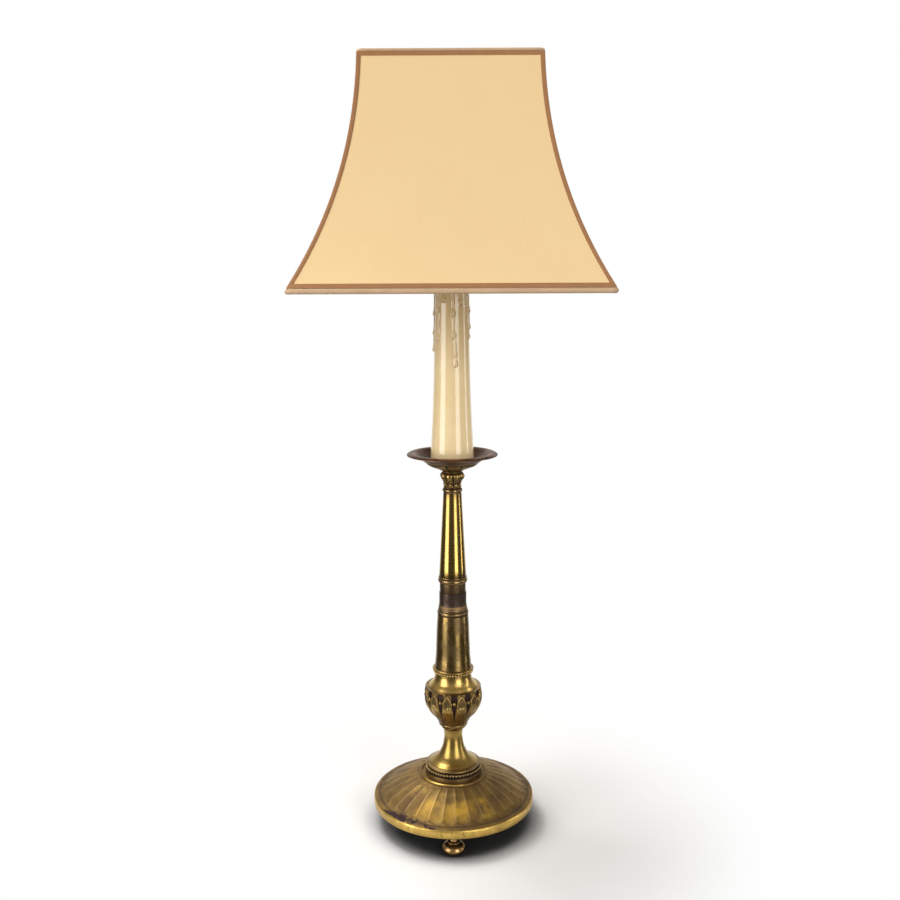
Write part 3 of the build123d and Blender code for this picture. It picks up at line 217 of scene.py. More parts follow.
def wear_and_highlight_group():
    """Patina, stains, specks, turning marks and rubbed brightening shared by all the metals; the brightening
    is partly painted highlight.
    """
    tree = bpy.data.node_groups.new("wear_and_highlight_metal", "ShaderNodeTree")
    face = tree.interface
    for name, kind, value in (
        ("Bright", "NodeSocketColor", (0.8, 0.6, 0.2, 1)),
        ("Dull", "NodeSocketColor", (0.4, 0.3, 0.15, 1)),
        ("Dark", "NodeSocketColor", (0.05, 0.03, 0.02, 1)),
        ("Rub and highlight", "NodeSocketColor", (0.9, 0.7, 0.3, 1)),
        ("Patina", "NodeSocketFloat", 0.5),
        ("Patch scale", "NodeSocketFloat", 30.0),
        ("Specks", "NodeSocketFloat", 0.3),
        ("Hollows", "NodeSocketFloat", 0.9),
    ):
        socket = face.new_socket(name, in_out="INPUT", socket_type=kind)
        socket.default_value = value
    face.new_socket("Colour", in_out="OUTPUT", socket_type="NodeSocketColor")
    face.new_socket("Dulling", in_out="OUTPUT", socket_type="NodeSocketFloat")
    face.new_socket("Height", in_out="OUTPUT", socket_type="NodeSocketFloat")
    given = add(tree, "NodeGroupInput").outputs
    place = own_place(tree)
    patches = clouds(tree, place, given["Patch scale"], 7.0, 0.62)
    patch = times(tree, ramp(tree, patches, (0.4, 0.0), (0.62, 1.0)), given["Patina"])
    grain = clouds(tree, place, 900.0, 4.0, 0.7)
    spots = clouds(tree, place, 210.0, 3.0, 0.55)
    speck = times(tree, ramp(tree, spots, (0.6, 0.0), (0.72, 1.0)), given["Specks"])
    hollow = add(tree, "ShaderNodeAttribute", attribute_name="hollow").outputs["Fac"]
    broken = maths(tree, "MULTIPLY_ADD", grain, 0.9, 0.55)
    deep = times(tree, hollow, given["Hollows"], broken)
    colour = blend_colour(tree, patch, given["Bright"], given["Dull"])
    colour = blend_colour(tree, maths(tree, "MINIMUM", speck, 1.0), colour, given["Dark"])
    sunk = maths(tree, "MINIMUM", maths(tree, "MAXIMUM", deep, 0.0), 1.0)
    colour = blend_colour(tree, sunk, colour, given["Dark"])
    # Brightening where the hollow attribute is below zero: rubbing, and on the dish's ridges and the
    # capital's tips also painted highlight
    rub_and_highlight = times(tree, maths(tree, "MAXIMUM", times(tree, hollow, -1.0), 0.0), broken)
    colour = blend_colour(tree, maths(tree, "MINIMUM", rub_and_highlight, 1.0), colour, given["Rub and highlight"])
    dulling = maths(tree, "ADD", patch, maths(tree, "ADD", times(tree, deep, 0.8), speck))
    stretched = add(tree, "ShaderNodeMapping", {"Vector": place, "Scale": (40, 40, 1500)}).outputs[0]
    lines = clouds(tree, stretched, 1.0, 3.0, 0.6)
    height = maths(tree, "MULTIPLY_ADD", lines, 0.35, times(tree, patches, 0.8))
    height = maths(tree, "MULTIPLY_ADD", grain, 0.25, height)
    add(tree, "NodeGroupOutput", {"Colour": colour, "Dulling": dulling, "Height": height})
    return tree


wear_and_highlight_metal = wear_and_highlight_group()


def metal(
    name, bright, dull, dark, rough, patina, scale, specks=0.3, hollows=0.9, bump=0.06, haze=0.25,
    rub_and_highlight=(0.9, 0.68, 0.32),
):
    """Metal with its own colours in the shared wear and painted highlight."""
    look, tree, shader = new_look(name)
    colours = {"Bright": (*bright, 1), "Dull": (*dull, 1), "Dark": (*dark, 1), "Rub and highlight": (*rub_and_highlight, 1)}
    amounts = {"Patina": patina, "Patch scale": scale, "Specks": specks, "Hollows": hollows}
    wear_and_highlight = add(tree, "ShaderNodeGroup", {**colours, **amounts}, node_tree=wear_and_highlight_metal).outputs
    roughness = maths(tree, "MINIMUM", maths(tree, "MULTIPLY_ADD", wear_and_highlight["Dulling"], haze, rough), 0.9)
    feed(tree, shader, {"Base Color": wear_and_highlight["Colour"], "Roughness": roughness, "Metallic": 1.0})
    emboss(tree, shader, wear_and_highlight["Height"], bump, 0.0006)
    return look


polished_brass = metal(
    "polished_brass", bright=(0.50, 0.338, 0.094), dull=(0.34, 0.226, 0.07), dark=(0.07, 0.04, 0.018),
    rough=0.17, patina=0.4, scale=38.0, specks=0.2, haze=0.1, bump=0.006,
)
copper_brass = metal(
    "copper_brass", bright=(0.44, 0.26, 0.10), dull=(0.24, 0.14, 0.06), dark=(0.07, 0.04, 0.025),
    rough=0.2, patina=0.6, scale=70.0, specks=0.3, haze=0.2,
)

foot_height = 27.5
foot_circle = 86.0
foot_outline = (
    [(0, 0), (7.5, 0)]
    + smooth_line([(7.5, 0), (12.6, 2.2), (14.6, 6.5), (12.2, 10.9), (7.0, 13.0)], 17)
    + smooth_line([(7.0, 13.0), (8.2, 14.2), (7.0, 15.4)], 7)
    + smooth_line([(4.8, 15.4), (4.0, 20.5), (4.8, 25.5)], 9)
    + [(6.4, 25.5), (6.4, foot_height), (3.0, foot_height), (3.0, 33.4), (0, 33.4)]
)
for foot_name, turn in (("front", 0), ("right", 120), ("left", 240)):
    foot = seamed(turned(foot_outline, 64, 0.25), (13.2, 15.4, 26.0), 1.4)
    bmesh.ops.translate(foot, verts=foot.verts, vec=(0, -foot_circle * mm, 0))
    bmesh.ops.rotate(foot, verts=foot.verts, matrix=Matrix.Rotation(math.radians(turn), 3, "Z"))
    piece(f"bun_foot_{foot_name}", foot, copper_brass, "stand", [f"foot_{foot_name}"])


# Base dish: a heavy brass casting, chased with shallow flutes between thin ridges, with a
# stepped ring round its flat top and a rolled rim. Its brown patina has a painted gold highlight at the
# front.

dish_brass = metal(
    "dish_brass", bright=(0.275, 0.175, 0.052), dull=(0.165, 0.102, 0.046), dark=(0.06, 0.036, 0.03),
    rough=0.52, patina=0.9, scale=32.0, specks=0.55, hollows=0.8, bump=0.12, haze=0.1,
    rub_and_highlight=(0.50, 0.33, 0.16),
)
flute_count = 32
flute_turn = 2.0

# Painted highlight: gold on some flutes at the front, where they face the front lamps; and a dark stain on
# the front left
highlight_colour = (0.62, 0.385, 0.065, 1)
highlight_from, highlight_full, highlight_to = 62.0, 72.0, 90.0
stain_colour = (0.05, 0.03, 0.032, 1)
stain_turn = math.radians(-36.0)
stain_from, stain_full = 97.5 * 0.93, 97.5 * 0.98
tree = dish_brass.node_tree
shader = tree.nodes["Principled BSDF"]
base = shader.inputs["Base Color"].links[0].from_socket
place = own_place(tree)
axes = add(tree, "ShaderNodeSeparateXYZ", {"Vector": place}).outputs
flat = add(tree, "ShaderNodeCombineXYZ", {"X": axes["X"], "Y": axes["Y"]}).outputs[0]
reach = add(tree, "ShaderNodeVectorMath", {0: flat}, operation="LENGTH").outputs["Value"]
highlight_ring = rise(tree, reach, highlight_from * mm, highlight_full * mm)
facing = rise(tree, maths(tree, "DIVIDE", axes["Y"], reach), -0.78, -0.88)
kept = rise(tree, reach, (highlight_to + 4) * mm, (highlight_to - 4) * mm)
spread = ramp(tree, clouds(tree, place, 42.0, 6.0), (0.38, 0.0), (0.54, 1.0))
turn = maths(tree, "ARCTAN2", axes["X"], times(tree, axes["Y"], -1.0))
flute = maths(tree, "MULTIPLY_ADD", turn, flute_count / math.tau, -flute_turn / 360 * flute_count)
flute = maths(tree, "FLOOR", flute)
luck = add(tree, "ShaderNodeTexWhiteNoise", {"W": flute}, noise_dimensions="1D").outputs["Value"]
picked = ramp(tree, luck, (0.0, 0.35), (0.5, 1.0))
highlight_mask = times(tree, highlight_ring, kept, picked, facing, spread)
highlighted = blend_colour(tree, highlight_mask, base, highlight_colour)
side = Vector((math.sin(stain_turn), -math.cos(stain_turn), 0))
toward = add(tree, "ShaderNodeVectorMath", {0: flat, 1: side}, operation="DOT_PRODUCT").outputs["Value"]
stain = rise(tree, toward, stain_from * mm, stain_full * mm)
blotch = ramp(tree, clouds(tree, place, 90.0, 5.0), (0.46, 1.0), (0.52, 0.0))
stained = blend_colour(tree, times(tree, stain, blotch), highlighted, stain_colour)
feed(tree, shader, {"Base Color": stained})

flute_depth = 0.55
flute_end, flute_arch = 95.8, 4.6
slope_from, slope_to = 45.6, 96.2
ridge_from = 0.88  # share of the way from a flute's middle to its edge
dish_slope = smooth_line(
    [(44.6, 64.0), (50, 62.9), (55, 61.6), (62.5, 58.6), (70, 55.2)]
    + [(77, 51.4), (84, 47.2), (90, 43.0), (96.3, 39.4)],
    56,
)


def rounding(radius, height, size, start, end, count):
    """Points round a small circle in an outline, from one angle to another."""
    angles = [math.radians(start + (end - start) * step / (count - 1)) for step in range(count)]
    return [(radius + size * math.cos(angle), height + size * math.sin(angle)) for angle in angles]


step_ring = rounding(42.6, 65.0, 1.6, 180, 0, 9)
rim_roll = rounding(100.7, 34.8, 3.6, 90, 0, 9)
dish_outline = (
    [(5.3, 65.0)]
    + step_ring
    + [(44.6, 65.0)]
    + dish_slope
    + [(97.0, 39.2)]
    + rim_roll
    + [(104.3, 27.4), (103.4, 26.5), (101.2, 26.5), (101.1, 35.4), (96.3, 35.4), (84.0, 43.2)]
    + [(70.0, 51.2), (55.0, 57.6), (44.6, 60.0), (5.3, 61.0)]
)


def height_on(line, radius):
    """Height of an outline at a radius, between its points."""
    for (near, low), (far, high) in zip(line, line[1:]):
        if near <= radius <= far:
            return low + (high - low) * (radius - near) / (far - near)
    return line[-1][1]


def share(value):
    """A value held between 0 and 1."""
    return max(0.0, min(1.0, value))


def peak(value, reach):
    """1 at zero, falling straight to 0 at a reach either way."""
    return max(0.0, 1 - abs(value) / reach)


def flute_rule(radius, turn, height):
    """Shallow flutes with thin ridges, arched at their outer ends."""
    on_slope = slope_from < radius < slope_to and height > height_on(dish_slope, radius) - 1.0
    if not on_slope:
        return radius, height, 0.8 if flute_end < radius < 97.6 and height > 38 else 0.0
    pitch = 360 / flute_count
    across = ((turn - flute_turn) / pitch) % 1.0
    centre = abs(across - 0.5) * 2
    outer = flute_end - flute_arch * centre**2
    fade = share((outer - radius) / 1.8) * share((radius - 46.0) / 3.0)
    ridge_drop = radius * (1 - math.cos(math.pi / flute_count)) * 0.5
    depth = (flute_depth * (1 - centre**2.4) + ridge_drop * (1 - centre**2)) * fade
    edge = peak(outer - 1.0 - radius, 1.2)
    ridge = max(0.0, (centre - ridge_from) / (1 - ridge_from)) * fade
    # Dark patina near the flute ends; the ridges bright, partly rubbed and partly painted highlight
    wear_and_highlight = max(0.5 * edge, 0.18 * (1 - fade)) * (1 - ridge) - 0.75 * ridge
    return radius - depth * 0.5, height - depth * 0.85, wear_and_highlight


dish = piece(
    "fluted_dish", reliefed(turned(dish_outline, flute_count * 12, 0), flute_rule),
    dish_brass, "stand", ["base_dish"], sharp=50,
)
rim_and_highlight_brass = metal(
    "rim_and_highlight_brass", bright=(0.66, 0.44, 0.11), dull=(0.38, 0.25, 0.07), dark=(0.1, 0.06, 0.03),
    rough=0.3, patina=0.7, scale=48.0, specks=0.6,
)


def second_look(made, look, chosen):
    """Gives some faces of a piece another metal, picked by radius, height and place."""
    made.data.materials.append(look)
    for face in made.data.polygons:
        radius = math.hypot(face.center.x, face.center.y) / mm
        if chosen(radius, face.center.z / mm, face.center):
            face.material_index = 1


def rim_and_ring_highlight(radius, height, spot):
    """The rim all round, in brighter metal, and a painted highlight on the front of the ring round the dish's
    top.
    """
    ring_front_highlight = spot.y < 0.0 and abs(spot.x + 0.012) < 0.024
    return radius > 103.0 or (radius < 44.4 and height > 65.6 and ring_front_highlight)


second_look(dish, rim_and_highlight_brass, rim_and_ring_highlight)


# Beaded moulding: a cast and turned brass ring between dish and bell, with a row of small
# beads under its rolled lip. It sits on the dish, and the bell stands on it.


def beaded(bm, count, circle, radius, height, rub):
    """Adds a row of round beads to a ring, rubbed bright on their outsides."""
    hollow = bm.verts.layers.float["hollow"]
    for index in range(count):
        angle = math.tau * index / count
        spot = Vector((math.sin(angle) * circle, -math.cos(angle) * circle, height)) * mm
        place = Matrix.Translation(spot)
        bead = bmesh.ops.create_uvsphere(bm, u_segments=10, v_segments=7, radius=radius * mm, matrix=place)
        for vert in bead["verts"]:
            vert[hollow] = -rub if math.hypot(vert.co.x, vert.co.y) > circle * mm else 0.6
    return bm


cast_brass = metal(
    "cast_brass", bright=(0.40, 0.265, 0.085), dull=(0.20, 0.13, 0.052), dark=(0.045, 0.027, 0.024),
    rough=0.27, patina=0.7, scale=50.0, specks=0.35, hollows=1.0, bump=0.1, haze=0.2,
    rub_and_highlight=(0.70, 0.48, 0.18),
)
moulding_brass = metal(
    "moulding_brass", bright=(0.30, 0.20, 0.075), dull=(0.18, 0.115, 0.055), dark=(0.04, 0.025, 0.018),
    rough=0.36, patina=0.8, scale=60.0, specks=0.35, hollows=1.0, bump=0.1, haze=0.12,
)
moulding_outline = [(28.0, 80.5), (28.0, 65.0), (37.2, 65.0), (36.6, 67.4), (36.8, 69.8), (36.2, 71.0)] + [
    *[(34.8, 71.6), (34.4, 77.3), (35.0, 77.5), (35.4, 78.5), (35.0, 79.4)],
    *[(33.6, 79.7), (32.6, 80.0), (31.6, 80.5)],
]


def darkened_seat(bm, inner, low, high):
    """Marks the recess that the beads sit in as a hollow."""

    def rule(radius, turn, height):
        return radius, height, 1.0 if radius > inner and low < height < high else 0.0

    return reliefed(bm, rule)


moulding = darkened_seat(turned(moulding_outline, 128, 0.35), 33, 70.0, 77.6)
piece(
    "beaded_moulding", beaded(moulding, 56, circle=35.3, radius=1.8, height=74.3, rub=0.12),
    moulding_brass, "stand", ["foot_moulding"], sharp=50,
)


# Bell: a turned flare of satin brass that carries the urn. It is clamped by the stack above it,
# and its thin foot is seamed to the beaded moulding.

satin_brass = metal(
    "satin_brass", bright=(0.44, 0.295, 0.08), dull=(0.29, 0.19, 0.06), dark=(0.07, 0.04, 0.018),
    rough=0.27, patina=0.5, scale=38.0, specks=0.25, haze=0.1, bump=0.012,
)
bell_side = [(31.4, 81.0), (28.0, 83.3), (24.7, 85.5), (20.6, 89.0), (18.2, 92.1), (16.4, 95.4)] + [
    *[(14.1, 101.0), (12.5, 109.0), (11.8, 116.0), (12.2, 121.5), (12.9, 126.0)]
]
bell_outline = smooth_line(bell_side, 71) + [(5.3, 126.0), (5.3, 98.5), (26.4, 80.5), (31.3, 80.5)]
piece(
    "polished_bell", seamed(turned(bell_outline, 128, 0), (80.5, 126.0), 1.1),
    satin_brass, "stand", ["bell_foot"],
)


# Wreath: a cast brass collar of twisted strands between bell and urn. It is clamped by the
# stack, and the grooves between its strands are dark with patina.

wreath_low = 126.0
wreath_tall = 8.5
wreath_outline = (
    [(5.3, wreath_low)]
    + smooth_line([(13.0, 126.0), (15.6, 127.8), (17.6, 130.4), (18.9, 132.8), (18.6, 134.5)], 17)
    + [(5.3, wreath_low + wreath_tall)]
)
strand_count = 8
strand_lean = 1.1
strand_groove = 1.5


def wreath_rule(radius, turn, height):
    """Slanting grooves that part the strands, shallow at both ends."""
    if radius < 10 or height > 134.2:
        return radius, height, 0.0
    lift = (height - wreath_low) / wreath_tall
    phase = (turn / 360 * strand_count - lift * strand_lean) % 1.0
    groove = max(0.0, 1 - min(phase, 1 - phase) / 0.22)
    swell = math.sin(math.pi * min(max(lift, 0.0), 1.0)) ** 0.5
    return radius - strand_groove * groove**1.5 * swell, height, groove**2 * 0.9


piece(
    "twisted_wreath", reliefed(turned(wreath_outline, 192, 0), wreath_rule),
    cast_brass, "stand", ["wreath_ring"], sharp=60,
)


# Cup of the urn: a brass casting of broad pointed leaves, clamped by the stack. A bead sits in
# each gap, with a dark slot under it and a pocket over it.

leaf_count = 12
leaf_turn = 2.5
cup_side = [(18.9, 134.5), (20.5, 137.6), (22.5, 141.3), (26.3, 145.7), (29.9, 149.4), (32.7, 153.9)] + [
    *[(35.7, 159.8), (37.1, 166.3), (37.4, 171.0), (37.2, 177.0), (36.8, 180.8), (36.2, 184.0)]
]
cup_outline = (
    [(5.3, 134.5)]
    + smooth_line(cup_side, 72)
    + [(30.7, 184.0), (30.7, 171.6), (25.2, 156.8), (10.7, 144.4), (5.3, 144.4)]
)
leaf_widest = 171  # height where the leaves are widest and their pointed ends begin
leaf_half = 11.2
tip_tall = 11.0
slot_depth = 2.2
pocket_depth = 1.7
panel_depth = 1.1
fold_height = 164.2


def leaf_rule(radius, turn, height):
    """Relief of leaves, slots and pockets on the cup's outside."""
    inside = radius < 17 or (height > 144 and radius < 31.8 and height - 134 > (radius - 15) * 1.32)
    if inside or height < 135.2:
        return radius, height, 0.0
    pitch = 360 / leaf_count
    across = ((turn - leaf_turn) / pitch + 0.5) % 1.0 - 0.5
    gap = abs(across) * pitch
    from_centre = pitch / 2 - gap
    depth = 0.0
    hollow = 0.0
    arch = leaf_half * max(0.0, 1 - max(0.0, height - leaf_widest) / tip_tall) ** 0.72
    if height < leaf_widest:
        half = 0.5 + 4.2 * max(0.0, (height - 145) / 25) ** 1.3
        if height > 140.5:
            slot = share((half + 1.0 - gap) / 1.0) * share((height - 141) / 5)
            depth += slot_depth * slot
            hollow = slot
        roll = max(0.0, 1 - max(0.0, gap - half) / 5.0)
        depth += 0.7 * roll**2 * min(1.0, (height - 135) / 8)
        rib = peak(from_centre, 1.6)
        depth += 0.45 * rib * share((height - 148) / 10)
        hollow = max(hollow, 0.3 * rib * share((height - 150) / 10))
    elif from_centre > arch:
        line = peak(from_centre - arch - 1.1, 1.5)
        pocket = share((8.0 - gap) / 2.0) * share((184.0 - height) / 1.6)
        depth += 0.7 + 1.0 * line + pocket_depth * pocket
        hollow = max(line, pocket, 0.3)
    else:
        depth += 0.3 * peak(from_centre - arch, 1.0) ** 2
    inner = share((min(arch - 2.6, 6.5) - from_centre) / 1.8) * share((height - 165.5) / 1.5)
    fold = peak(height - fold_height, 1.5) * peak(from_centre, 7.5)
    depth += panel_depth * inner - 0.5 * fold
    hollow = max(hollow, 0.5 * inner) if inner > 0 else hollow - 0.7 * fold
    if height < 152:
        hollow = max(hollow, 0.4 * min(1.0, (152 - height) / 8))
    depth *= 0.35 + 0.65 * share((184.2 - height) / 1.0)
    return radius - depth, height - depth * 0.1, max(hollow, 0.8 * peak(height - 135.6, 1.4))


cup = reliefed(turned(cup_outline, leaf_count * 30, 0), leaf_rule)
gap_bead = 2.45
gap_bead_circle = 35.2
for index in range(leaf_count):
    angle = math.radians(leaf_turn + 360 / leaf_count * index)
    spot = Vector((math.sin(angle) * gap_bead_circle, -math.cos(angle) * gap_bead_circle, 172.0))
    place = Matrix.Translation(spot * mm)
    bmesh.ops.create_uvsphere(cup, u_segments=20, v_segments=12, radius=gap_bead * mm, matrix=place)
piece("leaf_cup_casting", cup, cast_brass, "stand", ["leaf_cup"], sharp=60)


# Shoulder of the urn: a turned and polished brass cover with a spigot down into the cup. The
# ring above it holds it down.

shoulder_brass = metal(
    "shoulder_brass", bright=(0.60, 0.40, 0.12), dull=(0.42, 0.27, 0.09), dark=(0.08, 0.045, 0.03),
    rough=0.24, patina=0.5, scale=45.0, specks=0.3, bump=0.05, haze=0.12,
)
shoulder_side = [(32.0, 184.1), (30.5, 186.0), (29.0, 187.9), (27.1, 189.9)] + [
    *[(25.7, 191.9), (24.5, 194.2), (23.5, 198.5), (23.2, 203.5)]
]
shoulder_spigot = [(20.2, 203.5), (20.2, 187.0), (27.5, 184.0), (27.5, 181.0), (30.5, 181.0), (30.5, 184.0)]
shoulder_outline = smooth_line(shoulder_side, 41) + shoulder_spigot
piece(
    "polished_shoulder", seamed(turned(shoulder_outline, 128, 0), (184.4, 203.5), 0.9),
    shoulder_brass, "stand", ["urn_shoulder"],
)


# Ring over the urn: cast brass with a rolled lip and a row of small beads under it, rubbed
# bright. It is clamped between the shoulder and the lower tube.

bead_ring_outline = (
    [(5.3, 200.5), (20.0, 200.5), (20.0, 203.5), (23.3, 203.5), (23.3, 206.3)]
    + smooth_line([(24.9, 206.5), (26.2, 207.1), (26.5, 208.0), (26.1, 208.9), (24.9, 209.5)], 11)
    + [(20.4, 209.5), (20.4, 212.5), (5.3, 212.5)]
)
bead_ring = darkened_seat(turned(bead_ring_outline, 128, 0.2), 23, 203.4, 206.9)
piece(
    "bead_ring", beaded(bead_ring, 43, circle=24.5, radius=1.7, height=205.0, rub=0.7),
    cast_brass, "stand", ["beaded_ring"], sharp=50,
)


# Column: brass tubes and rings stacked on the threaded tube. The lower tube is worn, the band
# over it is nearly black with patina, and the upper tube is polished.

worn_brass = metal(
    "worn_brass", bright=(0.34, 0.225, 0.075), dull=(0.15, 0.098, 0.05), dark=(0.045, 0.028, 0.024),
    rough=0.2, patina=0.85, scale=45.0, specks=0.7, bump=0.1,
)
ring_brass = metal(
    "ring_brass", bright=(0.33, 0.215, 0.09), dull=(0.16, 0.10, 0.055), dark=(0.05, 0.032, 0.025),
    rough=0.24, patina=0.7, scale=60.0, specks=0.4,
)
band_brass = metal(
    "band_brass", bright=(0.11, 0.075, 0.055), dull=(0.065, 0.045, 0.037), dark=(0.45, 0.29, 0.12),
    rough=0.36, patina=0.9, scale=40.0, specks=0.0,
)


def ring_outline(low, high, radius, lip, below, above):
    """Half-round ring with a thin lip on top and a spigot each way."""
    top = high - 1.6
    middle = (low + top) / 2
    half = (top - low) / 2
    bulge = rounding(radius - half, middle, half, -90, 90, 9)
    roll = rounding(lip - 0.8, high - 0.8, 0.8, -90, 90, 5)
    below_spigot = [(5.3, low - 3), (below, low - 3), (below, low)]
    return below_spigot + bulge + roll + [(above, high), (above, high + 3), (5.3, high + 3)]


lower_tube_side = [(23.5, 209.5), (22.9, 217.5), (22.0, 228.4), (21.4, 244.6), (20.5, 266.0), (19.6, 280.5)]
lower_tube_bore = [(16.6, 280.5), (16.6, 274.5), (20.5, 215.5), (20.5, 209.5)]
lower_tube_outline = smooth_line(lower_tube_side, 41) + lower_tube_bore
band_side = [(18.6, 287.5), (18.1, 290.6), (17.5, 294.6), (17.3, 298.5), (17.3, 309.5)]
band_outline = smooth_line(band_side, 31) + [(14.3, 309.5), (14.3, 287.5)]
collar_outline = [(5.3, 306.5), (14.15, 306.5), (14.15, 309.5), (16.5, 309.5)] + [
    *[(16.5, 322.3), (13.5, 322.3), (13.5, 312.5), (5.3, 312.5)]
]
upper_tube_side = [(17.3 - 5.7 * step / 10, 330.5 + 107.7 * step / 10) for step in range(1, 10)]
upper_tube_bore = [(8.6, 438.2), (8.6, 432.2), (14.3, 336.5)]
upper_tube_outline = [(14.3, 330.5), (17.3, 330.5)] + upper_tube_side + [(11.6, 438.2)] + upper_tube_bore
lower_ring_outline = ring_outline(280.5, 287.5, 20.1, 19.0, 16.45, 14.15)
upper_ring_outline = ring_outline(322.3, 330.5, 18.8, 18.2, 13.35, 14.15)
for name, outline, seams, look, node, slot in (
    ("lower_tube", lower_tube_outline, (209.5, 280.5), worn_brass, "lower_column", "polished_brass"),
    ("lower_half_round", lower_ring_outline, (280.5, 285.9), ring_brass, "lower_ring", "polished_brass"),
    ("dark_band", band_outline, (289.0, 291.0, 292.4), band_brass, "column_band", "dark_brass"),
    ("plain_collar", collar_outline, (309.5, 322.3), worn_brass, "column_collar", "cast_brass"),
    ("upper_half_round", upper_ring_outline, (322.3, 328.9), ring_brass, "upper_ring", "polished_brass"),
    ("upper_tube", upper_tube_outline, (330.5, 438.2), polished_brass, "upper_column", "polished_brass"),
):
    piece(name, seamed(turned(outline, 128, 0.25), seams, 0.9), look, "stand", [node])


# Capital: a small half-round ring and a casting of curled leaves under the drip pan, both of
# brass and threaded over the tube like beads. The creases of the leaves are nearly black.

capital_ring_outline = (
    [(5.3, 435.2), (8.45, 435.2), (8.45, 438.2), (11.2, 438.2), (11.2, 440.0)]
    + rounding(10.7, 442.2, 2.0, -80, 80, 9)
    + [(11.2, 444.4), (11.2, 446.2), (7.85, 446.2), (7.85, 449.2), (5.3, 449.2)]
)
piece(
    "capital_half_round", seamed(turned(capital_ring_outline, 96, 0), (438.6, 440.2, 444.2, 446.0), 0.8),
    ring_brass, "stand", ["capital_ring"],
)
capital_low = 446.2
capital_side = [(11.0, 446.2), (11.3, 449.5), (12.7, 453.6), (14.5, 457.0), (15.7, 459.6)] + [
    *[(15.6, 461.8), (14.4, 463.8), (12.2, 464.9), (12.4, 465.5)]
]
capital_bore = [(5.3, 465.5), (5.3, 462.9), (8.0, 460.3)]
capital_outline = [(8.0, capital_low)] + smooth_line(capital_side, 60) + capital_bore
capital_leaves = 8
capital_turn = -16
crease_lift = 8.6  # height over the capital's foot where the stems end and the tips curl out


def capital_rule(radius, turn, height):
    """Curled leaf tips over narrow stems, with a small scroll at the foot of each."""
    if radius < 10.6:
        return radius, height, 0.0
    pitch = 360 / capital_leaves
    across = ((turn - capital_turn) / pitch + 0.5) % 1.0 - 0.5
    side = abs(across) * 2
    lift = height - capital_low
    tip = share((lift - crease_lift) / 1.6)
    crease = peak(lift - crease_lift, 1.1)
    grooved = (1 - math.cos(across * math.tau * 3)) / 2
    round_tip = 2.5 * side**2.4
    stem = 0.7 + 0.55 * grooved + 1.0 * max(0.0, side - 0.8) / 0.2
    knob = max(0.0, 1 - (across / 0.2) ** 2 - ((lift - 2.4) / 1.8) ** 2)
    depth = tip * round_tip + (1 - tip) * stem + 0.8 * crease - 1.4 * knob**0.5 * (1 - tip)
    gap = max(0.0, (side - 0.72) / 0.28)
    dark = max(gap, crease, 0.7 * grooved * (1 - tip) * (knob <= 0), peak(lift - 18.3, 1.2))
    # Bright curled tips and knobs, partly rubbed and partly painted highlight
    rub_and_highlight = 0.45 * tip * peak(side, 0.7) * peak(lift - 13.5, 3.5)
    wear_and_highlight = max(0.0, dark) - (rub_and_highlight + 0.3 * knob if dark < 0.2 else 0.0)
    return radius - depth * share(lift / 0.8), height, wear_and_highlight


piece(
    "capital_leaves", reliefed(turned(capital_outline, capital_leaves * 32, 0), capital_rule),
    cast_brass, "stand", ["leaf_capital"], sharp=60,
)


# Drip pan: a spun brass bowl with a row of petals chased on its underside, a raised ridge and
# a drooping rim, dark brown with patina. It is clamped between the capital and the candle.

pan_brass = metal(
    "pan_brass", bright=(0.19, 0.102, 0.058), dull=(0.11, 0.06, 0.038), dark=(0.04, 0.025, 0.02),
    rough=0.38, patina=0.8, scale=45.0, specks=0.4, hollows=0.9, bump=0.12, haze=0.12,
)
petal_brass = metal(
    "petal_brass", bright=(0.31, 0.195, 0.07), dull=(0.17, 0.105, 0.046), dark=(0.03, 0.018, 0.014),
    rough=0.36, patina=0.7, scale=60.0, specks=0.4, hollows=0.95,
)
pan_bowl = smooth_line(
    [(12.4, 466.5), (15.3, 468.1), (20.0, 470.1), (24.3, 471.8), (29.8, 474.1), (33.2, 476.9), (36.2, 479.5)],
    31,
)
pan_flange = smooth_line(
    [(36.2, 479.5), (40.2, 482.1), (44.4, 485.1), (49.5, 488.2), (53.4, 488.5), (56.8, 486.9)],
    21,
)
pan_upper = smooth_line(
    [(56.8, 487.7), (54.0, 489.4), (49.5, 489.8), (46.2, 488.6), (43.6, 486.7), (39.4, 483.7)]
    + [(35.4, 481.1), (32.4, 478.5), (29.0, 475.7), (23.5, 473.4), (14.5, 469.7), (11.6, 468.2)],
    36,
)
pan_outline = [(5.3, 465.5), (12.4, 465.5)] + pan_bowl + pan_flange[1:] + pan_upper + [(5.3, 467.76)]
petal_count = 11
petal_turn = 4
petal_step = 33.6  # radius of the thin step round the petals' outer ends
bowl_from, bowl_to = 12.5, 36.4


def petal_rule(radius, turn, height):
    """Petals and a thin step on the pan's underside."""
    under = bowl_from < radius < bowl_to and height < height_on(pan_bowl, radius) + 0.6
    if not under:
        inner = peak(radius - 33, 8) if height > 470 and radius < 45 else 0.0
        return radius, height, 0.35 * inner
    pitch = 360 / petal_count
    across = abs(((turn - petal_turn) / pitch + 0.5) % 1.0 - 0.5)
    apart = (0.5 - across) * math.tau * radius / petal_count
    edge = share(1.7 - apart / (0.75 + 0.5 * max(0.0, (radius - 26) / 8.0)))
    step = peak(radius - petal_step, 1.2)
    groove = max(edge * (13.5 < radius < 34), step)
    return radius - groove * 0.3, height + groove * 0.55, groove


pan = piece(
    "petal_pan", reliefed(turned(pan_outline, petal_count * 40, 0), petal_rule),
    pan_brass, "stand", ["drip_pan"], sharp=60,
)


def on_petals(radius, height, spot):
    """The chased underside of the bowl."""
    return radius < 36.2 and height < height_on(pan_bowl, radius) + 0.6


second_look(pan, petal_brass, on_petals)


# Candle: a hollow cast-resin sleeve, wider at its foot, with hardened runs of wax and a
# scalloped wax edge round the top. It stands in the pan, over a brass seat on the tube.

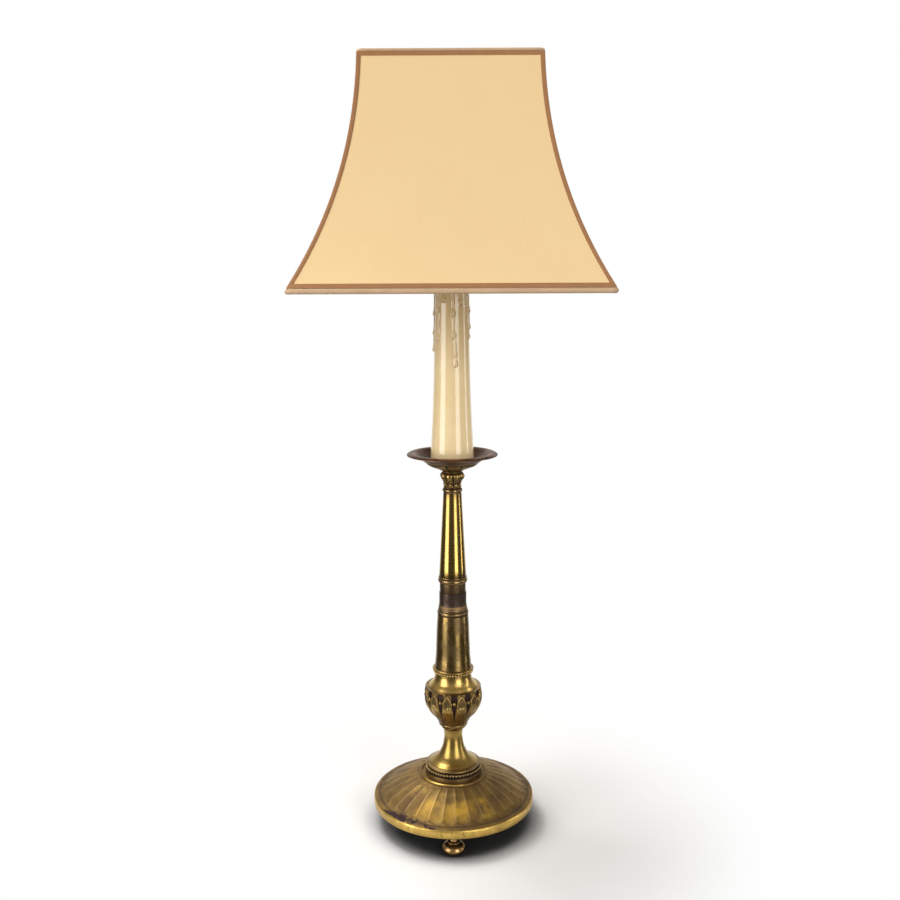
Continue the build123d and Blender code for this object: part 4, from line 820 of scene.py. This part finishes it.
wax, tree, shader = new_look("candle_wax")
place = own_place(tree)
cloudy = clouds(tree, place, 28.0, 5.0)
fine = clouds(tree, place, 260.0, 4.0)
low_high = add(tree, "ShaderNodeSeparateXYZ", {"Vector": place}).outputs["Z"]
# Painted shade: the candle darkens towards its top, under the lamp's shade
top_shade_from, top_shade_rise = 0.59, 8.0
top_shade = maths(tree, "MULTIPLY_ADD", low_high, top_shade_rise, -top_shade_from * top_shade_rise)
top_shade = ramp(tree, top_shade, (0.0, 0.0), (1.0, 1.0))
body_colour = blend_colour(
    tree,
    ramp(tree, cloudy, (0.35, 0.0), (0.7, 1.0)),
    (0.98, 0.78, 0.46, 1),
    (0.92, 0.71, 0.39, 1),
)
shaded_top = blend_colour(tree, times(tree, top_shade, 0.85), body_colour, (0.55, 0.40, 0.18, 1))
# Painted shade round the outside of the wax runs, from the hollow attribute
run_shade = add(tree, "ShaderNodeAttribute", attribute_name="hollow").outputs["Fac"]
run_shaded = blend_colour(tree, times(tree, run_shade, 0.8), shaded_top, (0.30, 0.18, 0.07, 1))
feed(tree, shader, {"Base Color": run_shaded, "Roughness": maths(tree, "MULTIPLY_ADD", fine, 0.1, 0.1)})
feed(tree, shader, {"Subsurface Weight": 0.12, "Subsurface Radius": (0.006, 0.003, 0.0015)})
feed(tree, shader, {"Coat Weight": 0.6, "Coat Roughness": 0.04})
emboss(tree, shader, maths(tree, "MULTIPLY_ADD", fine, 0.2, cloudy), 0.12, 0.001)

candle_low = 475.56
candle_top = 701.76
candle_bore = 17.6
candle_side = [(27.5, candle_low), (26.75, 492.0), (25.7, 512.0), (24.5, 535.0), (23.4, 562.0)] + [
    *[(22.3, 598.0), (21.3, 640.0), (20.5, 680.0), (20.2, 701.8)]
]
candle_outline = smooth_line(candle_side, 180) + [(candle_bore, candle_top), (candle_bore, candle_low)]

# Wax runs: turn from the front to the right, lower end, upper end and half width
wax_runs = (
    *((4, 658.8, 697.0, 3.1), (5, 632.8, 662.0, 2.9), (10, 610.3, 636.0, 2.7), (11, 598.6, 616.0, 2.8)),
    *((-52, 663.0, 697.0, 3.0), (-50, 630.0, 668.0, 2.8), (-88, 658.7, 697.0, 3.0)),
    *((-92, 634.7, 664.0, 2.8), (-86, 615.0, 640.0, 2.5), (-28, 676.0, 697.0, 2.5)),
    *((32, 673.0, 697.0, 2.6), (58, 669.0, 697.0, 2.4), (82, 661.5, 697.0, 3.0)),
    *((92, 642.0, 667.0, 2.8), (74, 631.0, 648.0, 2.4), (122, 628.0, 697.0, 2.7)),
    *((146, 662.0, 697.0, 2.4), (164, 606.0, 697.0, 2.9), (-168, 650.0, 697.0, 2.5)),
    *((-146, 620.0, 697.0, 2.7), (-130, 672.0, 697.0, 2.2)),
)
edge_low = 687.0
edge_proud = 1.05
run_proud = 1.2
drop_proud = 1.3


def wax_rule(radius, turn, height):
    """Raised runs that hang from a scalloped edge, each with a drop at its end, and painted shade round them.
    """
    if radius < 18.5:
        return radius, height, 0.0
    swell = 0.0
    shade = 0.0
    scallop = edge_low + 5.5 * abs(math.sin(math.radians(turn * 9 + 20)))
    scallop += 2.0 * math.sin(math.radians(turn * 4))
    if height > scallop:
        swell = edge_proud * min(1.0, ((height - scallop) / 1.6) ** 0.5)
        swell *= min(1.0, (candle_top - height) / 1.2 + 0.35)
    for run_turn, low, high, half in wax_runs:
        off = (turn - run_turn + 180) % 360 - 180
        side = math.radians(off) * radius
        if abs(side) > half * 1.7 or height < low - 1 or height > high:
            continue
        waist = 0.56 + 0.1 * math.sin(height * 0.35 + run_turn)
        drop = low + half
        if height < drop:
            away = math.hypot(side, drop - height) / half
        else:
            near = math.exp(-(((height - drop) / (half * 1.5)) ** 2))
            away = abs(side) / (half * (waist + (1 - waist) * near))
        if away < 1:
            proud = run_proud + drop_proud * math.exp(-(((height - drop) / (half * 1.3)) ** 2))
            swell = max(swell, proud * (1 - away**2) ** 0.6)
        else:
            # Painted shade round the outside of a run
            shade = max(shade, 1 - (away - 1) / 0.4)
    return radius + swell, height, share(shade) * (1.0 if swell < 0.2 else 0.45)


piece(
    "wax_candle", reliefed(turned(candle_outline, 216, 0), wax_rule),
    wax, "stand", ["candle_sleeve"], sharp=60,
)


# Lamp holder: a spun brass cap, a threaded sleeve and two screwed rings, with the ceramic
# insert and its contacts inside. These carry on the part's own solids with finished metals.

carried_metals = [
    metal(name, bright, dull, dark, rough, patina, scale, bump=bump)
    for name, bright, dull, dark, rough, patina, scale, bump in (
        ("holder_brass", (0.80, 0.62, 0.30), (0.6, 0.44, 0.2), (0.12, 0.08, 0.04), 0.22, 0.4, 70.0, 0.06),
        ("zinc_steel", (0.66, 0.67, 0.68), (0.5, 0.5, 0.5), (0.15, 0.13, 0.12), 0.32, 0.5, 60.0, 0.06),
        ("cast_iron", (0.10, 0.10, 0.10), (0.06, 0.055, 0.05), (0.03, 0.02, 0.015), 0.6, 0.7, 120.0, 0.4),
        ("tungsten_wire", (0.3, 0.3, 0.31), (0.2, 0.2, 0.2), (0.08, 0.07, 0.07), 0.4, 0.5, 200.0, 0.06),
        ("solder_tip", (0.6, 0.6, 0.62), (0.4, 0.4, 0.42), (0.2, 0.2, 0.2), 0.4, 0.6, 150.0, 0.3),
    )
]
holder_brass, zinc_steel, iron, tungsten, solder = carried_metals


def hard(name, first, second, rough, scale, bump, coat=0.0):
    """Painted, moulded or glazed surface with a fine texture."""
    look, tree, shader = new_look(name)
    place = own_place(tree)
    coarse = clouds(tree, place, scale / 12, 5.0)
    fine = clouds(tree, place, scale, 3.0)
    mixed = blend_colour(tree, ramp(tree, coarse, (0.4, 0.0), (0.65, 1.0)), (*first, 1), (*second, 1))
    roughness = maths(tree, "MULTIPLY_ADD", fine, 0.2, rough)
    feed(tree, shader, {"Base Color": mixed, "Roughness": roughness, "Coat Weight": coat})
    emboss(tree, shader, fine, bump, 0.0004)
    return look


wire_paint = hard("wire_paint", (0.78, 0.74, 0.64), (0.70, 0.65, 0.54), 0.4, 700.0, 0.15)
porcelain = hard("porcelain", (0.86, 0.85, 0.81), (0.80, 0.78, 0.73), 0.1, 500.0, 0.05, 0.5)
black_plastic = hard("black_plastic", (0.03, 0.03, 0.03), (0.045, 0.045, 0.045), 0.45, 1200.0, 0.25)

for look, nodes in (
    (zinc_steel, ("bottom_cover", "central_tube", "base_washer", "base_nut", "grub_screw", "bulb_cap")),
    (iron, ("ballast_weight",)),
    (black_plastic, ("cord_bushing",)),
    (polished_brass, ("candle_seat", "candle_cap")),
    (porcelain, ("holder_insert",)),
    (holder_brass, ("holder_cap", "holder_shell", "screw_shell", "centre_contact", "terminal_screws")),
    (holder_brass, ("lower_shade_ring", "upper_shade_ring")),
    (solder, ("bulb_contact",)),
    (tungsten, ("bulb_filament",)),
    (wire_paint, ("spider_ring", "spider_arms", "corner_wires", "top_wire", "bottom_wire")),
):
    for node in nodes:
        carried = bpy.data.objects[node].data.materials
        carried.clear()
        carried.append(look)


# Bulb: a blown clear glass envelope on a screw cap, closed at its neck by a glass stem that
# carries the filament. The cap screws into the holder.

glass, tree, shader = new_look("bulb_clear_glass")
feed(tree, shader, {"Transmission Weight": 1.0, "IOR": 1.46})
haze = clouds(tree, own_place(tree), 60.0, 4.0)
tinted = blend_colour(tree, haze, (0.97, 0.985, 0.985, 1), (0.93, 0.95, 0.95, 1))
feed(tree, shader, {"Base Color": tinted, "Roughness": maths(tree, "MULTIPLY_ADD", haze, 0.04, 0.005)})
emboss(tree, shader, haze, 0.04, 0.0005)

glass_low = 762.0
glass_wall = 0.8
bulb_radius = 30.0
bulb_centre = 808.0
bulb_neck = [(12.5, glass_low), (12.9, 767.0), (14.25, 774.2), (18.2, 782.5), (22.1, 789.4), (27.4, 798.5)]
dome = [math.radians(step) for step in range(6, 90, 6)]
dome = [(bulb_radius * math.cos(a), bulb_centre + bulb_radius * math.sin(a)) for a in dome]
bulb_shoulder = smooth_line(bulb_neck + [(bulb_radius, bulb_centre)], 31)
bulb_outer = bulb_shoulder + dome + [(0, bulb_centre + bulb_radius)]
bulb_inner = [
    (max(0.0, radius - glass_wall), height - 0.3) if radius else (0, height - glass_wall)
    for radius, height in reversed(bulb_outer)
]
bulb_inner[-1] = (11.7, glass_low)
envelope = turned(bulb_inner + bulb_outer, 96, 0)
piece("glass_bulb", envelope, glass, "bulb", ["bulb_glass"], sharp=60)
stem_outline = (
    [(0, 761.2), (12.5, 761.2), (12.5, glass_low)]
    + smooth_line([(6.6, 762.2), (6.4, 768.0), (6.0, 773.5), (3.4, 777.0), (2.3, 779.5)], 15)
    + [(2.2, 796.0), (0, 796.0)]
)
piece("glass_stem", turned(stem_outline, 48, 0), glass, "bulb", ["bulb_stem"], sharp=60)


# Shade: four fabric panels on a stiff lining, bent to one arc and stretched on the wire frame.
# Across the width each panel is straight, and it meets its neighbours at the corners.

arc_centre = (635.03, 963.0)
arc_radius = 533.6
low_angle = math.radians(30.22)
high_angle = math.radians(1.76)
arc_length = arc_radius * (low_angle - high_angle)
shade_low = 694.36
shade_top = 946.76


def shade_side(share, offset=0.0):
    """Half width and height on a panel's arc, from the lower to the upper edge."""
    angle = low_angle + (high_angle - low_angle) * share
    radius = arc_radius - offset
    return arc_centre[0] - radius * math.cos(angle), arc_centre[1] - radius * math.sin(angle)


def share_at(height):
    """Share of the arc at a height."""
    angle = math.asin((arc_centre[1] - height) / arc_radius)
    return (low_angle - angle) / (low_angle - high_angle)


def cloth(name, sheen):
    """Fabric's material, and the piece's own map in metres."""
    look, tree, shader = new_look(name)
    feed(tree, shader, {"Sheen Weight": sheen, "Specular IOR Level": 0.25})
    return look, tree, shader, add(tree, "ShaderNodeUVMap", uv_map="laid").outputs["UV"]


def dye(tree, shader, shades, first, second):
    """Colours a cloth from one colour to another by its pattern of shades."""
    mixed = blend_colour(tree, maths(tree, "MINIMUM", shades, 1.0), (*first, 1), (*second, 1))
    feed(tree, shader, {"Base Color": mixed})


weave = 2100.0
fleck = 0.4
shade_fabric, tree, shader, laid = cloth("shade_fabric", 0.3)
warp_place = add(tree, "ShaderNodeMapping", {"Vector": laid, "Scale": (weave, weave * 0.16, 1)}).outputs[0]
weft_place = add(tree, "ShaderNodeMapping", {"Vector": laid, "Scale": (weave * 0.12, weave, 1)}).outputs[0]
weft = times(tree, clouds(tree, weft_place, 1.0, 3.0), 0.5)
threads = maths(tree, "MULTIPLY_ADD", clouds(tree, warp_place, 1.0, 3.0), 0.5, weft)
uneven = ramp(tree, clouds(tree, laid, 14.0, 3.0), (0.3, 0.0), (0.75, 1.0))
shades = times(tree, ramp(tree, threads, (0.40, 0.0), (0.60, 1.0)), fleck)
shades = maths(tree, "ADD", shades, times(tree, uneven, fleck * 0.35))
dye(tree, shader, shades, (0.94, 0.70, 0.38), (0.82, 0.56, 0.26))
roughness = maths(tree, "MULTIPLY_ADD", threads, 0.2, 0.72)
feed(tree, shader, {"Roughness": roughness, "Sheen Roughness": 0.4})
emboss(tree, shader, threads, 0.2, 0.0005)


def shell(name, rows, look, node, closed=False, sharp=40):
    """Closed skin through rows of points, each row a closed loop, made by extruding the loop."""
    bm = bmesh.new()
    ring = [bm.verts.new(Vector(point) * mm) for point in rows[0]]
    edges = [bm.edges.new((ring[i - 1], ring[i])) for i in range(len(ring))]
    start_edges = list(edges)
    for row in rows[1:]:
        grown = bmesh.ops.extrude_edge_only(bm, edges=edges)["geom"]
        fresh = {item for item in grown if isinstance(item, bmesh.types.BMVert)}
        edges = [e for e in grown if isinstance(e, bmesh.types.BMEdge) and fresh.issuperset(e.verts)]
        partner = {e.other_vert(vert): vert for vert in fresh for e in vert.link_edges if e not in edges}
        ring = [partner[vert] for vert in ring]
        for vert, point in zip(ring, row):
            vert.co = Vector(point) * mm
    if closed:
        bmesh.ops.bridge_loops(bm, edges=start_edges + edges)
    else:
        bmesh.ops.contextual_create(bm, geom=start_edges)
        bmesh.ops.contextual_create(bm, geom=edges)
    return piece(name, bm, look, "shade", [node] if node else [], sharp)


panel_rows = 44
panel_columns = 40
edge_gap = 0.3
ripple = 0.18
lining = 0.75
strips = 200
for index in range(strips):
    half = (shade_side(index / strips)[0] + shade_side((index + 1) / strips)[0]) / 2 - edge_gap
for panel_name, turn in (("front", 0), ("right", 90), ("back", 180), ("left", 270)):
    bm = bmesh.new()
    bmesh.ops.create_grid(bm, x_segments=panel_columns, y_segments=panel_rows, size=0.5)
    laid = bm.loops.layers.uv.new("laid")
    shares = {vert: (vert.co.x * 2, vert.co.y + 0.5) for vert in bm.verts}
    for face in bm.faces:
        for loop in face.loops:
            across, up = shares[loop.vert]
            loop[laid].uv = (across * (shade_side(up)[0] - edge_gap) * mm + turn, up * arc_length * mm)
    for vert in bm.verts:
        across, up = shares[vert]
        half, height = shade_side(up)
        spread = across * (half - edge_gap)
        pull = ripple * noise.noise(Vector((spread / 30, height / 60, turn))) * (1 - across**4)
        vert.co = Vector((spread, -(half + pull * min(1, up * 8, (1 - up) * 8)), height)) * mm
    bmesh.ops.rotate(bm, verts=bm.verts, matrix=Matrix.Rotation(math.radians(turn), 3, "Z"))
    node = f"panel_{panel_name}"
    panel = piece(f"fabric_{node}", bm, shade_fabric, "shade", [node])
    backing = panel.modifiers.new("lining", "SOLIDIFY")
    backing.thickness = lining * mm
    backing.offset = -1.0


# Braids: flat brown braid glued over the panels' edges and corners, and ribbed beige piping
# glued on the upper and lower edges.


def mapped(made, upright=False):
    """Map of a strip in metres: along its length, and across it."""
    mesh = made.data
    layer = mesh.uv_layers.new(name="laid")
    for loop in mesh.loops:
        x, y, z = mesh.vertices[loop.vertex_index].co
        layer.data[loop.index].uv = (z, x - y) if upright else (x + y, z)
    return made


def braid(name, light, dark, ribs, bump):
    """Ribbed braid, with ribs across its length."""
    look, tree, shader, laid = cloth(name, 0.25)
    ribbed = {"Vector": laid, "Scale": ribs, "Distortion": 1.2, "Detail": 2.0, "Detail Scale": 3.0}
    rib = add(tree, "ShaderNodeTexWave", ribbed).outputs["Fac"]
    fuzz = clouds(tree, laid, 1400.0, 3.0)
    uneven = times(tree, clouds(tree, laid, 60.0, 3.0), 0.5)
    dye(tree, shader, maths(tree, "MULTIPLY_ADD", rib, 0.35, uneven), dark, light)
    feed(tree, shader, {"Roughness": maths(tree, "MULTIPLY_ADD", fuzz, 0.2, 0.7)})
    emboss(tree, shader, maths(tree, "MULTIPLY_ADD", fuzz, 0.3, rib), bump, 0.0004)
    return look


brown_braid = braid("brown_braid", (0.50, 0.24, 0.10), (0.33, 0.155, 0.065), 260.0, 0.5)
beige_braid = braid("beige_braid", (0.88, 0.63, 0.40), (0.58, 0.37, 0.21), 330.0, 0.7)

trim_width = 4.5
corner_width = 4.7


def corner_loop(up, width, low_offset, high_offset):
    """Section of a strip folded over a corner, on the front right."""
    out, height_out = shade_side(up, high_offset)
    inn, height_in = shade_side(up, low_offset)
    soft = 0.5
    outside = [(out - width, -out), (out - width / 2, -out), (out - soft, -out)] + [
        *[(out - soft * 0.3, -out + soft * 0.3), (out, -out + soft)],
        *[(out, -out + width / 2), (out, -out + width)],
    ]
    inside = [(inn, -inn + width), (inn, -inn + width / 2), (inn, -inn)] + [
        *[(inn - width / 2, -inn), (inn - width, -inn)]
    ]
    return [(x, y, height_out) for x, y in outside] + [(x, y, height_in) for x, y in inside]


corner_low = share_at(shade_low + trim_width + 0.1)
corner_high = share_at(shade_top - trim_width - 0.1)
corner_steps = 60
corner_rows = [
    corner_loop(corner_low + (corner_high - corner_low) * step / corner_steps, corner_width, 0.05, 0.55)
    for step in range(corner_steps + 1)
]
for index, turn in enumerate((0, 90, 180, 270)):
    swing = Matrix.Rotation(math.radians(turn), 3, "Z")
    rows = [[swing @ Vector(point) for point in row] for row in corner_rows]
    node = None if index else "corner_trims"
    strip = shell(f"corner_braid_{index + 1}", rows, brown_braid, node, sharp=60)
    mapped(strip, upright=True)


def square(half, height, corner, steps, bends):
    """Points round a square with rounded corners, seen from above."""
    points = []
    for turn in range(4):
        swing = Matrix.Rotation(math.radians(90 * turn), 3, "Z")
        straight = 2 * half - 2 * corner
        side = [(half, -half + corner + straight * step / steps) for step in range(steps + 1)]
        bend = [
            (half - corner + corner * math.cos(a), half - corner + corner * math.sin(a))
            for a in (math.pi / 2 * step / bends for step in range(1, bends))
        ]
        points += [swing @ Vector((x, y, height)) for x, y in side + bend]
    return points


def edge_band(name, low_height, high_height, node):
    """Braid band right round the shade between two heights."""
    tall = high_height - low_height
    outer = [shade_side(share_at(low_height + tall * step / 4), 0.6) for step in range(5)]
    inner = [shade_side(share_at(high_height - tall * step / 4), 0.05) for step in range(5)]
    rows = [square(*side, 1.2, 24, 5) for side in outer] + [square(*side, 0.8, 24, 5) for side in inner]
    return mapped(shell(name, rows, brown_braid, node, closed=True, sharp=50))


edge_band("lower_braid", shade_low, shade_low + trim_width, "bottom_trim")
edge_band("upper_braid", shade_top - trim_width, shade_top, "top_trim")

piping_corner = 6.0
rib_pitch = 0.85


def piping(name, half, height, radius, node):
    """Ribbed roll swept round a square with rounded corners."""
    steps = int(2 * (half - piping_corner) / rib_pitch)
    bends = max(6, int(piping_corner * math.pi / 2 / rib_pitch))
    points = square(half, height, piping_corner, steps, bends)
    round_angles = [math.tau * step / 12 for step in range(12)]
    rows = []
    for index, point in enumerate(points):
        ahead = points[(index + 1) % len(points)] - points[index - 1]
        out = Vector((ahead.y, -ahead.x, 0)).normalized()
        size = radius * (1.0 if index % 2 else 0.9)
        rows.append(
            [
                point + out * size * math.cos(a) + Vector((0, 0, size * math.sin(a)))
                for a in round_angles
            ]
        )
    return mapped(shell(name, rows, beige_braid, node, closed=True, sharp=80))


piping("lower_piping", 173.9, 691.1, 3.1, "bottom_piping")
piping("upper_piping", 100.9, 948.5, 1.7, "top_piping")


# Studio: a pale floor that runs out into a white surround, soft lamps left, right and above,
# and the photograph's camera.

floor_radius = 0.9
floor_mesh = bmesh.new()
bmesh.ops.create_circle(floor_mesh, cap_ends=True, segments=96, radius=floor_radius)
floor_data = bpy.data.meshes.new("floor")
floor_mesh.to_mesh(floor_data)
floor_mesh.free()
floor = bpy.data.objects.new("floor", floor_data)
bpy.context.scene.collection.objects.link(floor)
floor_look, tree, shader = new_look("floor_paper")
place = own_place(tree)
# Painted shadow: the floor's colour darkens by ambient occlusion round the dish, deeper on the right
closed_in = add(tree, "ShaderNodeAmbientOcclusion", {"Distance": 0.062}, samples=16).outputs["AO"]
across = add(tree, "ShaderNodeSeparateXYZ", {"Vector": place}).outputs["X"]
shadow_side = rise(tree, across, -0.11, 0.05, 0.8, 1.1)
nearness = times(tree, maths(tree, "SUBTRACT", 1.0, closed_in), shadow_side)
feed(tree, shader, {"Base Color": ramp(tree, nearness, (0.12, 0.95), (0.58, 0.01)), "Roughness": 0.9})
reach = add(tree, "ShaderNodeVectorMath", {0: place}, operation="LENGTH").outputs["Value"]
clear = add(tree, "ShaderNodeBsdfTransparent").outputs[0]
faded = add(tree, "ShaderNodeMixShader", {0: rise(tree, reach, 0.18, 0.42), 1: shader.outputs[0], 2: clear})
feed(tree, tree.nodes["Material Output"], {"Surface": faded.outputs[0]})
floor_data.materials.append(floor_look)

world = bpy.data.worlds.new("studio")
bpy.context.scene.world = world
world.use_nodes = True
tree = world.node_tree
path = add(tree, "ShaderNodeLightPath").outputs
direction = add(tree, "ShaderNodeTexCoord").outputs["Generated"]
toward = add(tree, "ShaderNodeSeparateXYZ", {"Vector": direction}).outputs
above = rise(tree, toward["Z"], -0.25, 0.6)
room = blend_colour(tree, above, (0.08, 0.075, 0.068, 1), (0.34, 0.32, 0.29, 1))
# White stands behind the lamp for the camera, and in what metal and glass mirror or show of it
behind = rise(tree, toward["Y"], 0.55, 0.9)
mirrored = maths(tree, "MAXIMUM", path["Is Glossy Ray"], path["Is Transmission Ray"])
seen = maths(tree, "MAXIMUM", path["Is Camera Ray"], times(tree, mirrored, behind))
tint = blend_colour(tree, seen, room, (1.0, 1.0, 1.0, 1))
feed(tree, tree.nodes["Background"], {"Color": tint})


def soft_lamp(name, place, width, height, power):
    """Area lamp turned to the middle of the object."""
    data = bpy.data.lights.new(name, "AREA")
    data.shape = "RECTANGLE"
    data.size = width
    data.size_y = height
    data.energy = power
    lamp = bpy.data.objects.new(name, data)
    lamp.location = place
    lamp.rotation_euler = (Vector((0, 0, 0.45)) - Vector(place)).to_track_quat("-Z", "Y").to_euler()
    bpy.context.scene.collection.objects.link(lamp)


soft_lamp("left_softbox", (-1.84, -1.2, 0.8), 1.3, 2.3, 39)
soft_lamp("right_softbox", (1.2, -1.84, 0.8), 1.0, 2.3, 26.5)
soft_lamp("side_strip", (2.2, 0.05, 0.8), 0.28, 2.3, 9)
soft_lamp("top_softbox", (-0.8, 0.6, 2.4), 0.9, 0.9, 34)

camera_data = bpy.data.cameras.new("camera")
camera_data.sensor_width = 36.0
camera_data.lens = 41.4
camera_yaw, camera_pitch, camera_roll = 0.1246, 9.4, -0.25
camera = bpy.data.objects.new("camera", camera_data)
camera.location = (0.0, -1.2757, 0.7039)
lean = Matrix.Rotation(math.radians(camera_yaw), 4, "Z")
down = Matrix.Rotation(math.radians(90 - camera_pitch), 4, "X")
roll = Matrix.Rotation(math.radians(camera_roll), 4, "Z")
camera.rotation_euler = (lean @ down @ roll).to_euler()
bpy.context.scene.collection.objects.link(camera)
bpy.context.scene.camera = camera
bpy.context.scene.view_settings.view_transform = "Standard"
